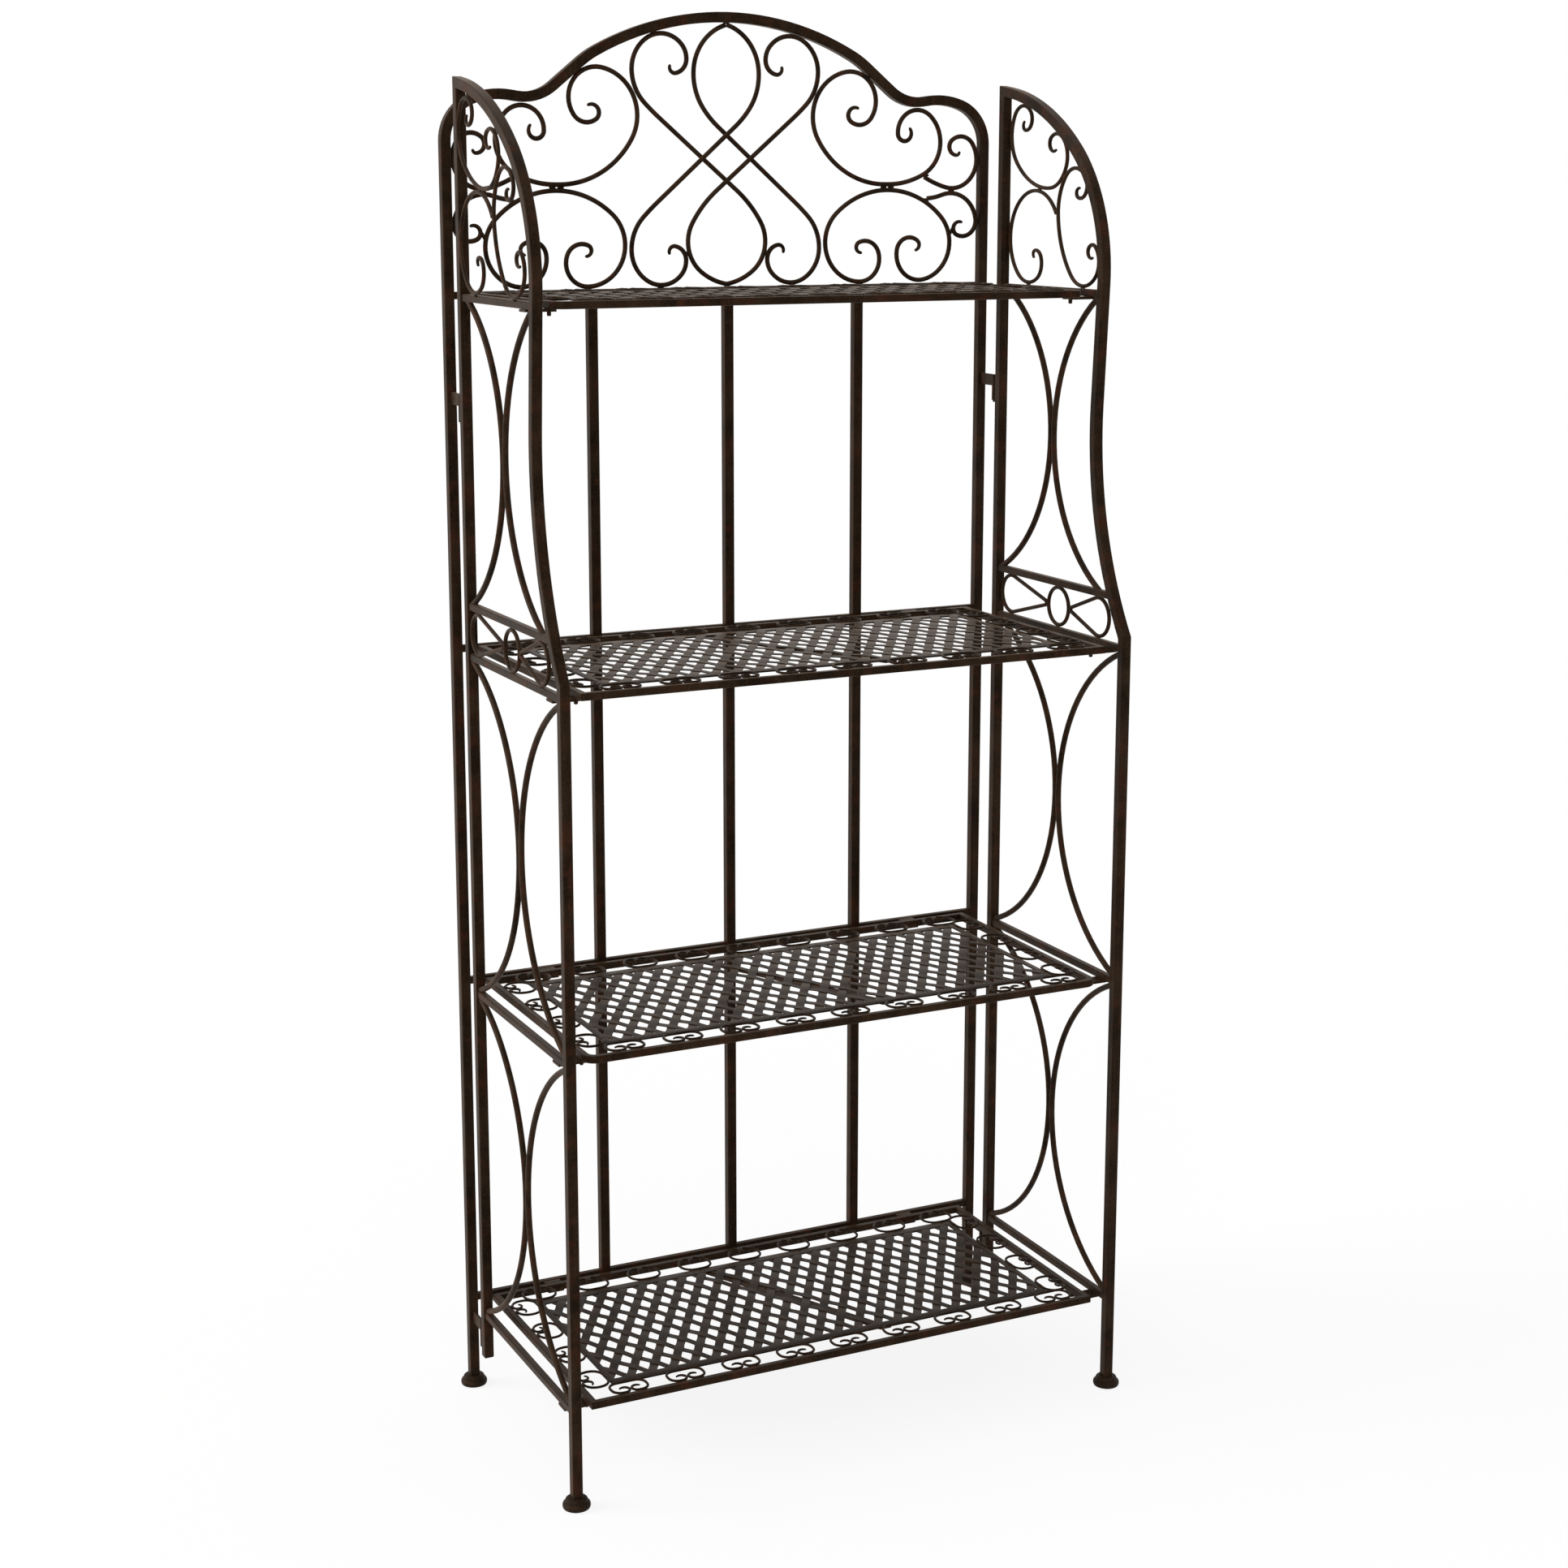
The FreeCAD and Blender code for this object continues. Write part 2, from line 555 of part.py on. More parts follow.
def diamond_hole():
    """Outline of one gap in the weave, centred on the origin."""
    lean = math.atan2(WEAVE_Y, WEAVE_X)
    half_x = WEAVE_X / 2 - STRAND / 2 / math.sin(lean)
    half_y = WEAVE_Y / 2 - STRAND / 2 / math.cos(lean)
    corners = [Vector(half_x, 0, 0), Vector(0, half_y, 0), Vector(-half_x, 0, 0), Vector(0, -half_y, 0)]
    square = Part.Face(Part.makePolygon(corners + corners[:1])).extrude(Z_AXIS)
    upright = [edge for edge in square.Edges if edge.BoundBox.ZLength > 0.5]
    rounded = square.makeFillet(WEAVE_CORNER, upright)
    floor = min(rounded.Faces, key=lambda face: face.CenterOfMass.z)
    return floor.OuterWire


def weave_gaps(front, rear):
    """Gaps of the weave between the border strips; the outer ones are cut off by the strips."""
    reach_x = PANEL_HALF - WEAVE_BORDER_X
    low, high = front + WEAVE_BORDER_Y, rear - WEAVE_BORDER_Y
    window = Part.makePlane(2 * reach_x, high - low, Vector(-reach_x, low, 0))
    hole = diamond_hole()
    half_x, half_y = hole.BoundBox.XLength / 2, hole.BoundBox.YLength / 2
    gaps = []
    rows = int((high - low) / WEAVE_Y * 2) + 2
    columns = int(reach_x / WEAVE_X) + 1
    for row in range(rows):
        y = rear - WEAVE_START - row * WEAVE_Y / 2
        shift = WEAVE_X / 2 * ((row + 1) % 2)
        for column in range(-columns - 1, columns + 1):
            x = column * WEAVE_X + shift
            wire = hole.translated(Vector(x, y, 0))
            if abs(x) + half_x <= reach_x and low <= y - half_y and y + half_y <= high:
                gaps.append(wire)
                continue
            cut = Part.Face(wire).common(window)
            gaps += [face.OuterWire for face in cut.Faces if face.Area > STRAND * STRAND / 2]
    return gaps


def build_panel(level, front):
    """Woven panel as one sheet with a gap for every diamond."""
    low, high = BACK_Y + front, BACK_Y + PANEL_REAR
    corners = [Vector(x, y, 0) for x, y in ((-PANEL_HALF, low), (PANEL_HALF, low), (PANEL_HALF, high), (-PANEL_HALF, high))]
    outline = Part.makePolygon(corners + corners[:1])
    sheet = Part.makeFace([outline] + weave_gaps(low, high), "Part::FaceMakerBullseye").extrude(Z_AXIS * PANEL_THICK)
    return sheet.translated(Z_AXIS * (level + BAR - PANEL_THICK))


def build_brace(level, front):
    """Flat strap on the slant under the panel."""
    low, high = BACK_Y + front, BACK_Y + PANEL_REAR
    slant = Vector(-2 * BRACE_RUN, high - low, 0)
    half = Vector(slant.y, -slant.x, 0).normalize() * (BRACE_WIDTH / 2)
    foot, head = Vector(BRACE_RUN, low, 0), Vector(-BRACE_RUN, high, 0)
    ring = [foot - half - slant, foot + half - slant, head + half + slant, head - half + slant]
    strap = Part.Face(Part.makePolygon(ring + ring[:1])).extrude(Z_AXIS * BRACE_THICK)
    strap = strap.common(block((-PANEL_HALF, PANEL_HALF), (low + 1, high - 1), (0, BRACE_THICK)))
    return strap.translated(Z_AXIS * (level + BAR - PANEL_THICK - BRACE_THICK))


def rim_scroll(depth):
    """Flat C of wire: smooth back against the panel, curled ends meeting at the bar (y = 0)."""
    near = RIM_ROD / 2 + TOUCH
    far = depth - near
    run = RIM_LENGTH / 2 - RIM_ROD / 2 - RIM_END_BEND
    meet = RIM_ROD / 2 + TOUCH / 2
    plane = (Vector(0, 0, 0), X_AXIS, Y_AXIS)
    curl = ((RIM_FOOT_BEND, -90), (RIM_CURL_BEND, RIM_CURL_TURN))
    end = ((RIM_END_BEND, -90), far - near - 2 * RIM_END_BEND, (RIM_END_BEND, -90))
    steps = (run,) + end + (run - meet - RIM_FOOT_BEND,) + curl
    right = trace(plane, (0, far), 0, steps)[0]
    left = [mirrored(edge) for edge in right]
    return rod(Part.__sortEdges__(left + right), RIM_ROD, Z_AXIS)


def placed(shape, point, turn):
    """Copy of a flat shape turned about Z and set down at a point."""
    copy = shape.copy()
    copy.Placement = FreeCAD.Placement(point, FreeCAD.Rotation(Z_AXIS, turn))
    return copy


def build_rim_scrolls(level, front_face, panel_front):
    """Rim scrolls all round the panel."""
    z = level + BAR - PANEL_THICK / 2
    rear_face = HINGE_BACK - HALF_BAR
    front_inner = front_face + BAR
    side_inner = SHELF_HALF - BAR
    front_row = rim_scroll(panel_front - front_inner)
    rear_row = rim_scroll(rear_face - PANEL_REAR)
    side_row = rim_scroll(side_inner - PANEL_HALF)
    scrolls = []
    for index in range(RIM_COUNT):
        x = (index - (RIM_COUNT - 1) / 2) * RIM_PITCH
        scrolls.append(placed(front_row, Vector(x + RIM_OFFSET, BACK_Y + front_inner, z), 0))
        scrolls.append(placed(rear_row, Vector(x, BACK_Y + rear_face, z), 180))
    back = RIM_SIDE_START
    while back > panel_front:
        scrolls.append(placed(side_row, Vector(side_inner, BACK_Y + back, z), 90))
        scrolls.append(placed(side_row, Vector(-side_inner, BACK_Y + back, z), -90))
        back -= RIM_SIDE_PITCH
    return scrolls


def build_shelf_frame(level, front_face, bent_corners):
    """Rear bar, which is the hinge pin, side bars and front bar, mitred or bent at the front."""
    z = level + HALF_BAR
    rear = BACK_Y + HINGE_BACK
    front = BACK_Y + front_face + HALF_BAR
    side = SHELF_HALF - HALF_BAR
    diagonal = Vector(1, 1, 0).normalize()
    counter = Vector(1, -1, 0).normalize()
    rear_corner, front_corner = Vector(side, rear, z), Vector(side, front, z)

    rear_bar = bar_tube(Vector(-SHELF_HALF, rear, z), Vector(SHELF_HALF, rear, z))
    rear_bar = trim(rear_bar, rear_corner, counter)
    rear_bar = trim(rear_bar, Vector(-side, rear, z), -diagonal)

    side_start = front + FRONT_CORNER if bent_corners else front - HALF_BAR
    side_bar_right = bar_tube(Vector(side, side_start, z), Vector(side, rear + HALF_BAR, z))
    side_bar_right = trim(side_bar_right, rear_corner, -counter)
    if bent_corners:
        plane = (Vector(0, 0, z), X_AXIS, Y_AXIS)
        straight = 2 * (side - FRONT_CORNER)
        steps = ((FRONT_CORNER, 90), straight, (FRONT_CORNER, 90))
        edges = trace(plane, (-side, front + FRONT_CORNER), -90, steps)[0]
        front_bar = bent_tube(edges, Z_AXIS, BAR, BAR_CORNER, BAR_WALL)
    else:
        side_bar_right = trim(side_bar_right, front_corner, -diagonal)
        front_bar = bar_tube(Vector(-SHELF_HALF, front, z), Vector(SHELF_HALF, front, z))
        front_bar = trim(front_bar, front_corner, diagonal)
        front_bar = trim(front_bar, Vector(-side, front, z), -counter)
    return [rear_bar, front_bar] + with_mirror([side_bar_right])


def build_peg(level, front_face):
    """Locating peg under the side bar, with a rounded tip."""
    place = Vector(SHELF_HALF - HALF_BAR, BACK_Y + front_face + TAB_FROM_FRONT, level - PEG_LENGTH)
    peg = Part.makeCylinder(PEG_RADIUS, PEG_LENGTH, place)
    tip = min(peg.Edges, key=lambda edge: edge.BoundBox.ZMax)
    return peg.makeFillet(PEG_RADIUS / 2, [tip])


def build_shelf(number, level):
    front_face = shelf_front(level)
    panel_front = front_face + BAR + RIM_FRONT
    name = "shelf_" + str(number)
    bent_corners = number in (2, 4)
    save(name + "_frame", build_shelf_frame(level, front_face, bent_corners))
    save(name + "_woven_panel", build_panel(level, panel_front))
    save(name + "_brace", build_brace(level, panel_front))
    save(name + "_rim_scrolls", build_rim_scrolls(level, front_face, panel_front))
    save(name + "_pegs", with_mirror([build_peg(level, front_face)]))


os.makedirs("parts", exist_ok=True)
build_back_frame()
build_side_frames()
for shelf_number, shelf_level in enumerate(LEVELS, start=1):
    build_shelf(shelf_number, shelf_level)
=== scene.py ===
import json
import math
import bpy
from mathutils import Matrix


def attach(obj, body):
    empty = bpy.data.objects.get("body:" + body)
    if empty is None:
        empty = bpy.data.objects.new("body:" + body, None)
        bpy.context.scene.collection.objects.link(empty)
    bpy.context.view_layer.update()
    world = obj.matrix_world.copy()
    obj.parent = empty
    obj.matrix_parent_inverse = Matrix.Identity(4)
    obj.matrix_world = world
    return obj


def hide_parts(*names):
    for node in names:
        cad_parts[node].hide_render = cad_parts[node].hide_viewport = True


bl_info = {
    "name": "Bakers rack",
    "version": (1, 0, 0),
    "blender": (4, 5, 0),
    "location": "3D View > Sidebar > Rack",
    "description": "Dresses a folding steel bakers rack: woven shelves, welds, finishes and a soft studio",
    "category": "Object",
}

import bpy
from bpy.props import FloatProperty, FloatVectorProperty, PointerProperty

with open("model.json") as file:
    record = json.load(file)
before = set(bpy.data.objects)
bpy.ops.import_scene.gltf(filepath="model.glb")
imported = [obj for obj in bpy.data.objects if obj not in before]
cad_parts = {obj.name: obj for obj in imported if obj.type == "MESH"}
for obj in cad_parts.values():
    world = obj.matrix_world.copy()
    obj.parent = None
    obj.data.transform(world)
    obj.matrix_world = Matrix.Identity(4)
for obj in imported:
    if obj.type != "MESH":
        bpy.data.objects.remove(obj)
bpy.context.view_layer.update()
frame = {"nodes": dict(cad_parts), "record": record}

MM = 0.001
SHELVES = (1, 2, 3, 4)
SIDES = (("left", -1), ("right", 1))

# Places and sizes of the rack's solids that the dressing follows, in metres
SHELF_LEVELS = {1: 0.117, 2: 0.549, 3: 0.981, 4: 1.418}     # underside of each shelf's frame
BAR = 0.009                             # width and height of a shelf frame's bars
SIDE_BARS = 0.342                       # inner faces of the frame's side bars
REAR_BAR = 0.162                        # front face of its rear bar
FRONT_BAR = {1: -0.170, 2: -0.170, 3: -0.170, 4: -0.105}    # rear face of its front bar
PANEL_HALF = 0.309
PANEL_REAR = 0.126
PANEL_FRONT = {1: -0.142, 2: -0.142, 3: -0.142, 4: -0.077}
PANEL_THICK = 0.002
BACK_PLANE = 0.184
BACK_LAYER = 0.00305                    # the crossed rods lie this far before and behind it
SIDE_PLANE = 0.37935
POST_X = 0.37435
LEG_Y = -0.18435

# Forging of the scrolls
LONGEST_CHORD = 6                       # of a bend cut into straight pieces, in millimetres
LARGEST_TURN = 9                        # between two of those pieces, in degrees
RIM_LARGEST_TURN = 18                   # the same for the thin wire round the panels
BACK_ROD_SIDES = 12
SIDE_ROD_SIDES = 10
RIM_ROD_SIDES = 8
ROD_SMOOTH_ANGLE = 60
TIP_LENGTH = 5                          # drawn-out part of a tip, in rod diameters
TIP_THINNING = 0.35                     # share of its thickness that the tip loses by drawing out
TIP_END_LENGTH = 0.35                   # length of its rounded end, in rod diameters
TIP_ROUNDING = 0.9                      # 1 rounds the end to a point, 0 leaves it square

# A weld bead, as shares of its length and width
BEAD_SIDES = 8
BEAD_RINGS = 9
BEAD_WAISTS = (-0.375, -0.087, 0.22)    # where it is narrower, between the ripples
BEAD_WAIST_REACH = 0.09
BEAD_WAIST_WIDTH = 0.86

# Wire scrolls round the panels, in metres
RIM_COUNT = 9
RIM_SIDE_COUNT = {1: 4, 2: 4, 3: 4, 4: 3}
RIM_PITCHES = {"front": 0.075, "rear": 0.0743, "side": 0.077}
RIM_OFFSETS = {"front": 0.0065, "rear": 0.0015}     # middle of a row, beside the shelf's own
RIM_SIDE_START = 0.111                  # middle of the rearmost scroll of a side row
RIM_OVERLAP = 0.001                     # how far the wire is sunk into bar and panel by its welds
RIM_SHAPES = {                          # length along the bar, bend of the round ends, bend up to the curls
    "front": (0.050, 0.011, 0.007), "rear": (0.046, 0.0155, 0.0038), "side": (0.048, 0.0145, 0.0055),
}
RIM_CURL_TURN = 150

# Weave, in metres; a period is one rise and one dip of a strand
WEAVE_BORDER_X = 0.008
WEAVE_BORDER_Y = 0.014
WEAVE_TOP_NODES = {                     # a crossing of each shelf's weave in its rearmost row
    1: (0.004, 0.1027), 2: (-0.0005, 0.0958), 3: (0.0115, 0.1083), 4: (0.0, 0.1033),
}
STRAND_ROWS = 12                        # rows of faces along a period
STRAND_PERIODS = 8
PERIODS_BEFORE_NODE = 6                 # of them, in front of the reference crossing
SPARE_STRANDS = 14                      # beside those that the panel's width needs, as they lean
WEAVE_MERGE = 0.0001                    # gap at which the ends of two periods grow together
WEAVE_CUT = 0.00001                     # a cut this close to a vertex goes through it
WEAVE_SMOOTH_ANGLE = 40

# Feet, pegs and straps, in metres
EDGE_ANGLE = 50                         # edges sharper than this are rounded or stay sharp
FOOT_SIDES = 40
PEG_SIDES = 16
PEG_X = 0.3465
PEG_BEHIND_BAR = 0.019                  # pegs stand this far behind the front bar
STRAP_X = 0.265
STRAP_LIP = 0.7                         # height of a strap's free end, as a share of the bar
HINGE_Y = 0.1665                        # middle of a shelf's rear bar, which turns in its straps

# Turned outline of a foot, radius and height: bottom edge, bun, groove and the collar round the tube
FOOT_OUTLINE = (
    (0.0146, 0.0), (0.0163, 0.0008), (0.0170, 0.0026), (0.0170, 0.0050), (0.0164, 0.0066),
    (0.0152, 0.0078), (0.0138, 0.0085), (0.0134, 0.0090), (0.0138, 0.0098), (0.0134, 0.0114),
    (0.0122, 0.0126), (0.0104, 0.0133), (0.0086, 0.0135),
)

# Scrolls as runs of bends: start, heading, steps that are (radius, turn) or a straight length, in
# millimetres and degrees with left turns positive, and which of the two ends are drawn-out tips
BOTH, AT_START, AT_END = (True, True), (True, False), (False, True)
TAIL = ((300, 5), (58, 45), (45, 60), (36, 80), (27, 40), (18, 80), (7, 130))
LEFT_TAIL = tuple((radius, -turn) for radius, turn in TAIL)
HEART = ((0, 1751.9), 197, ((62, 68), (74, 40), (120, 14), 144) + LEFT_TAIL, AT_END)
UPTURNED_HEART = ((0, 1430.1), 172, ((78, -30), (48, -82), (150, -20), 140) + TAIL, AT_END)
UPPER_C = (
    (189, 1651), 145,
    ((10, 180), (21, 90), (37, 135), (58, 110), (112, 60), 6, (112, 28), (46, 110), (29, 135), (10, 225)),
    BOTH,
)
LOWER_C = (
    (194.5, 1467.7), 194,
    ((7, -170), (21, -95), (29, -110), (51, -136), (110, -90), (49, -120), (34, -113), (19, -120), (7, -140)),
    BOTH,
)
UPPER_SMALL_C = ((338.4, 1598), -75, ((4, -105), (11, -140), (21, -95), (37, -140), (137, -14.4)), AT_START)
LOWER_SMALL_C = ((291, 1537), 6, (5, (70, 14), (39, -102), (20, -124), (9, -186)), AT_END)
SIDE_UPPER = (
    (-99, 1635.5), -23,
    ((6, -147), (14, -145), (25, -105), (50, -75), (108, -48), (44, -65), (30, -85), (22, -60), (10, -190)),
    BOTH,
)
SIDE_FRONT = (
    (-235.8, 1550.3), 26,
    ((6, -185), (15, -142), (30, -107), (66, -46), (120, -40), (40, -90), (26, -92), (11, -88), (8, -170)),
    BOTH,
)
SIDE_REAR = ((-128.2, 1462), 23, ((5, 148), (14, 77), (22, 81), (40, 70), (61, 199)), AT_START)

# Where the scrolls touch each other and the frame, in millimetres, with the heading of the weld
BACK_WELDS = (
    ((0, 1755), 0), ((97.5, 1744), -30), ((202.6, 1693.7), -52), ((368, 1587), 90), ((368, 1507), 90),
    ((327, 1547), 0), ((225.5, 1551.5), 0), ((236.5, 1551.8), 0), ((288.6, 1566.6), 5),
    ((289.6, 1534.4), -35), ((92.5, 1427), 0), ((0, 1427), 0), ((190.8, 1427), 0), ((327.5, 1493.8), 80),
    ((56.3, 1467.8), 90),
)
SIDE_WELDS = (
    ((-197.2, 1565.1), -45), ((-138.8, 1549.4), 10), ((-180.8, 1522.4), 90), ((-64.5, 1617.9), 90),
    ((-64.5, 1486.2), 90), ((-246.7, 1427), 0), ((-114.9, 1427), 0), ((-102.9, 1659.5), -30),
)

# Grains of the finishes, in millimetres, and the streaks down the tubes, in metres
PATCHES_PER_CLOUD = 2.6                 # reddish patches along one cloud of the enamel
SMOOTHER_PATCHES = 0.08                 # how far the roughness goes down and up with the patches
ROUGHER_PATCHES = 0.12
PEEL_MM = 1.4
DUST_MM = 9
PLASTIC_GRAIN_MM = 0.5
PAPER_CLOUD_MM = 300
STREAK_WIDTH = 0.003
STREAK_LENGTH = 0.12

# Studio
FLOOR_RADIUS = 60
FLOOR_SIDES = 96
FLOOR_BELOW = 0.0005                    # how far the floor lies under the feet
FLOOR_FIBRE_TONE = 0.95
SEEN_SHADING = 0.15                     # how much of the floor's own shading the camera sees
SKY_LIGHT = 0.42                        # strength of the sky for light that falls on the rack
SKY_SEEN = 1.0                          # and for what the camera sees
SUN_HEIGHT = 3
SUNS = (                                # name, strength, softness and turns about X and Y
    ("key_light", 2.4, 35, (-18, -62)),
    ("fill_light", 0.9, 60, (49, -43)),
    ("top_light", 0.5, 70, (0, 0)),
)
CAMERA_PLACE = (-1.421, -2.905, 1.562)
CAMERA_YAW = 25.93
CAMERA_PITCH = 11.0
CAMERA_SENSOR = 36
CAMERA_LENS = 60.34
CAMERA_SHIFT = -0.06


def linear(hex_colour):
    """Linear red, green, blue and alpha of an sRGB hex colour."""
    parts = [int(hex_colour[i:i + 2], 16) / 255 for i in (1, 3, 5)]
    return tuple(p / 12.92 if p <= 0.04045 else ((p + 0.055) / 1.055) ** 2.4 for p in parts) + (1.0,)


def size(name, description, default):
    """Length property in metres, with a floor of a tenth of a millimetre."""
    return FloatProperty(name=name, description=description, default=default, min=0.0001,
                         subtype="DISTANCE", unit="LENGTH", precision=5)


def colour(name, description, hex_colour):
    """Colour property, given as an sRGB hex value."""
    return FloatVectorProperty(name=name, description=description, default=linear(hex_colour),
                               size=4, min=0.0, max=1.0, subtype="COLOR")


class RackSizes(bpy.types.PropertyGroup):
    right_strand_width: size("Strand width, right-leaning", "Width between two crossings", 0.0112)
    left_strand_width: size("Strand width, left-leaning", "Width between two crossings", 0.0092)
    strand_flare: size("Strand flare", "How much wider each side of a strand is at a crossing", 0.0009)
    strand_thickness: size("Strand thickness", "Thickness of a woven strand", 0.0012)
    weave_across: size("Weave across", "Distance between two strands across the shelf", 0.0285)
    weave_deep: size("Weave deep", "Length of a diamond of the weave from front to back", 0.0467)
    strand_edge: size("Strand edge", "Rounding of a strand's long edges", 0.0006)
    border_edge: size("Border edge", "Rounding of the border strip's edges", 0.0005)
    back_rod: size("Back rod", "Diameter of the scrolls in the back", 0.006)
    side_rod: size("Side rod", "Diameter of the scrolls in the sides", 0.005)
    rim_rod: size("Rim rod", "Diameter of the wire round the panels", 0.0033)
    rim_curl_bend: size("Rim curl bend", "Bend of the curled ends", 0.0065)
    weld_length: size("Weld length", "Length of a weld bead on the rods", 0.009)
    weld_width: size("Weld width", "Width of a weld bead on the rods", 0.0042)
    strap_width: size("Strap width", "Width of a shelf's hinge strap", 0.022)
    strap_steel: size("Strap steel", "Thickness of a hinge strap", 0.0012)
    peg_width: size("Peg width", "Diameter of a shelf's locating peg", 0.005)
    peg_length: size("Peg length", "How far a peg stands out below its shelf", 0.0085)


class RackColours(bpy.types.PropertyGroup):
    enamel_dark: colour("Enamel, dark", "Darkest tone of the enamel", "#17100a")
    enamel_mid: colour("Enamel, middle", "Main tone of the enamel", "#2f2218")
    enamel_red: colour("Enamel, reddish", "Reddish patches of the enamel", "#3f2015")
    enamel_rubbed: colour("Enamel, rubbed", "Flecks and rubbed places of the enamel", "#524130")
    gloss_tint: colour("Gloss tint", "Warm tint that the bronze pigment gives to the gloss", "#e0b890")
    foot_brown: colour("Feet", "Plastic of the feet and plugs", "#1c1510")
    floor_white: colour("Floor", "Studio floor", "#fbfaf9")


# --- Nodes and materials ---------------------------------------------------------------------

def add(tree, kind, settings=None, links=None):
    """Adds a node with its settings, and links its inputs to other nodes' outputs.

    A setting is one of the node's own values or the default of one of its inputs, by name or
    number; stops are the two colours of a ramp.
    """
    node = tree.nodes.new(kind)
    for key, value in (settings or {}).items():
        if key == "stops":
            for element, (place, shade) in zip(node.color_ramp.elements, value):
                element.position = place
                element.color = shade
        elif isinstance(key, str) and hasattr(node, key):
            setattr(node, key, value)
        else:
            node.inputs[key].default_value = value
    for key, output in (links or {}).items():
        tree.links.new(output, node.inputs[key])
    return node


def grey(value):
    """A neutral colour for a ramp."""
    return (value, value, value, 1.0)


def noise(tree, coords, grain_mm, **settings):
    """Noise whose blobs are about grain_mm wide; settings carry the node's other inputs."""
    inputs = {"Scale": 1 / (grain_mm * MM)}
    inputs.update({key.title(): value for key, value in settings.items()})
    return add(tree, "ShaderNodeTexNoise", inputs, {"Vector": coords})


def ramp(tree, factor, low, high):
    """Colour ramp over a factor, from one (place, colour) to another."""
    return add(tree, "ShaderNodeValToRGB", {"stops": (low, high)}, {"Fac": factor})


def new_material(name):
    """Empty node material, with its tree, output node and Object coordinates."""
    material = bpy.data.materials.new(name)
    material.use_nodes = True
    tree = material.node_tree
    tree.nodes.clear()
    output = add(tree, "ShaderNodeOutputMaterial")
    coords = add(tree, "ShaderNodeTexCoord").outputs["Object"]
    return material, tree, output, coords


def rustic_enamel(name, cloud_mm, fleck_mm, roughness, streaks=0.0, shade=1.0, gloss_level=0.08):
    """Dark bronze-brown enamel, sprayed on steel and rubbed through in flecks.

    Clouds of dark and middle brown with reddish patches give the mottled look, fine light flecks
    the rubbed one, and a fine orange-peel bump breaks up the satin highlights. Streaks run along
    the upright tubes, as the paint was drawn down them. A shade under 1 darkens the whole coat: it
    is painted shade, for parts that should look less lit than the lamps make them.
    """
    colours = bpy.context.scene.rack_colours
    material, tree, output, coords = new_material(name)
    clouds = noise(tree, coords, cloud_mm, detail=4.0, roughness=0.65)
    body = ramp(tree, clouds.outputs["Fac"], (0.36, tuple(colours.enamel_dark)),
                (0.62, tuple(colours.enamel_mid)))
    patches = noise(tree, coords, cloud_mm / PATCHES_PER_CLOUD, detail=5.0, roughness=0.6, distortion=0.4)
    patch_mask = ramp(tree, patches.outputs["Fac"], (0.52, grey(0.0)), (0.7, grey(0.7)))
    reddened = add(tree, "ShaderNodeMix", {"data_type": "RGBA", 7: tuple(colours.enamel_red)},
                   {0: patch_mask.outputs["Color"], 6: body.outputs["Color"]})
    flecks = noise(tree, coords, fleck_mm, detail=3.0, roughness=0.55)
    fleck_mask = ramp(tree, flecks.outputs["Fac"], (0.56, grey(0.0)), (0.78, grey(0.4)))
    rubbed = add(tree, "ShaderNodeMix", {"data_type": "RGBA", 7: tuple(colours.enamel_rubbed)},
                 {0: fleck_mask.outputs["Color"], 6: reddened.outputs[2]})
    drawn = add(tree, "ShaderNodeMapping", {"Scale": (1 / STREAK_WIDTH, 1 / STREAK_WIDTH, 1 / STREAK_LENGTH)},
                {"Vector": coords})
    lines = add(tree, "ShaderNodeTexNoise", {"Scale": 1.0, "Detail": 2.0},
                {"Vector": drawn.outputs["Vector"]})
    # The ramp carries the streaks and the shade, which is painted shade darkening the whole coat
    streaks_and_painted_shade = ramp(tree, lines.outputs["Fac"], (0.3, grey(shade * (1 - streaks))), (0.7, grey(shade)))
    tone = add(tree, "ShaderNodeMix", {"data_type": "RGBA", "blend_type": "MULTIPLY", 0: 1.0},
               {6: rubbed.outputs[2], 7: streaks_and_painted_shade.outputs["Color"]})
    gloss = add(tree, "ShaderNodeMapRange", {"To Min": roughness - SMOOTHER_PATCHES,
                                             "To Max": roughness + ROUGHER_PATCHES},
                {"Value": patches.outputs["Fac"]})
    peel = noise(tree, coords, PEEL_MM, detail=2.0)
    bump = add(tree, "ShaderNodeBump", {"Strength": 0.35, "Distance": 0.0003},
               {"Height": peel.outputs["Fac"]})
    shader = add(tree, "ShaderNodeBsdfPrincipled", {"IOR": 1.5, "Specular IOR Level": gloss_level,
                                                    "Specular Tint": tuple(colours.gloss_tint),
                                                    "Sheen Weight": 0.2, "Sheen Roughness": 0.3,
                                                    "Sheen Tint": tuple(colours.gloss_tint)},
                 {"Base Color": tone.outputs[2], "Roughness": gloss.outputs["Result"],
                  "Normal": bump.outputs["Normal"]})
    tree.links.new(shader.outputs["BSDF"], output.inputs["Surface"])
    return material


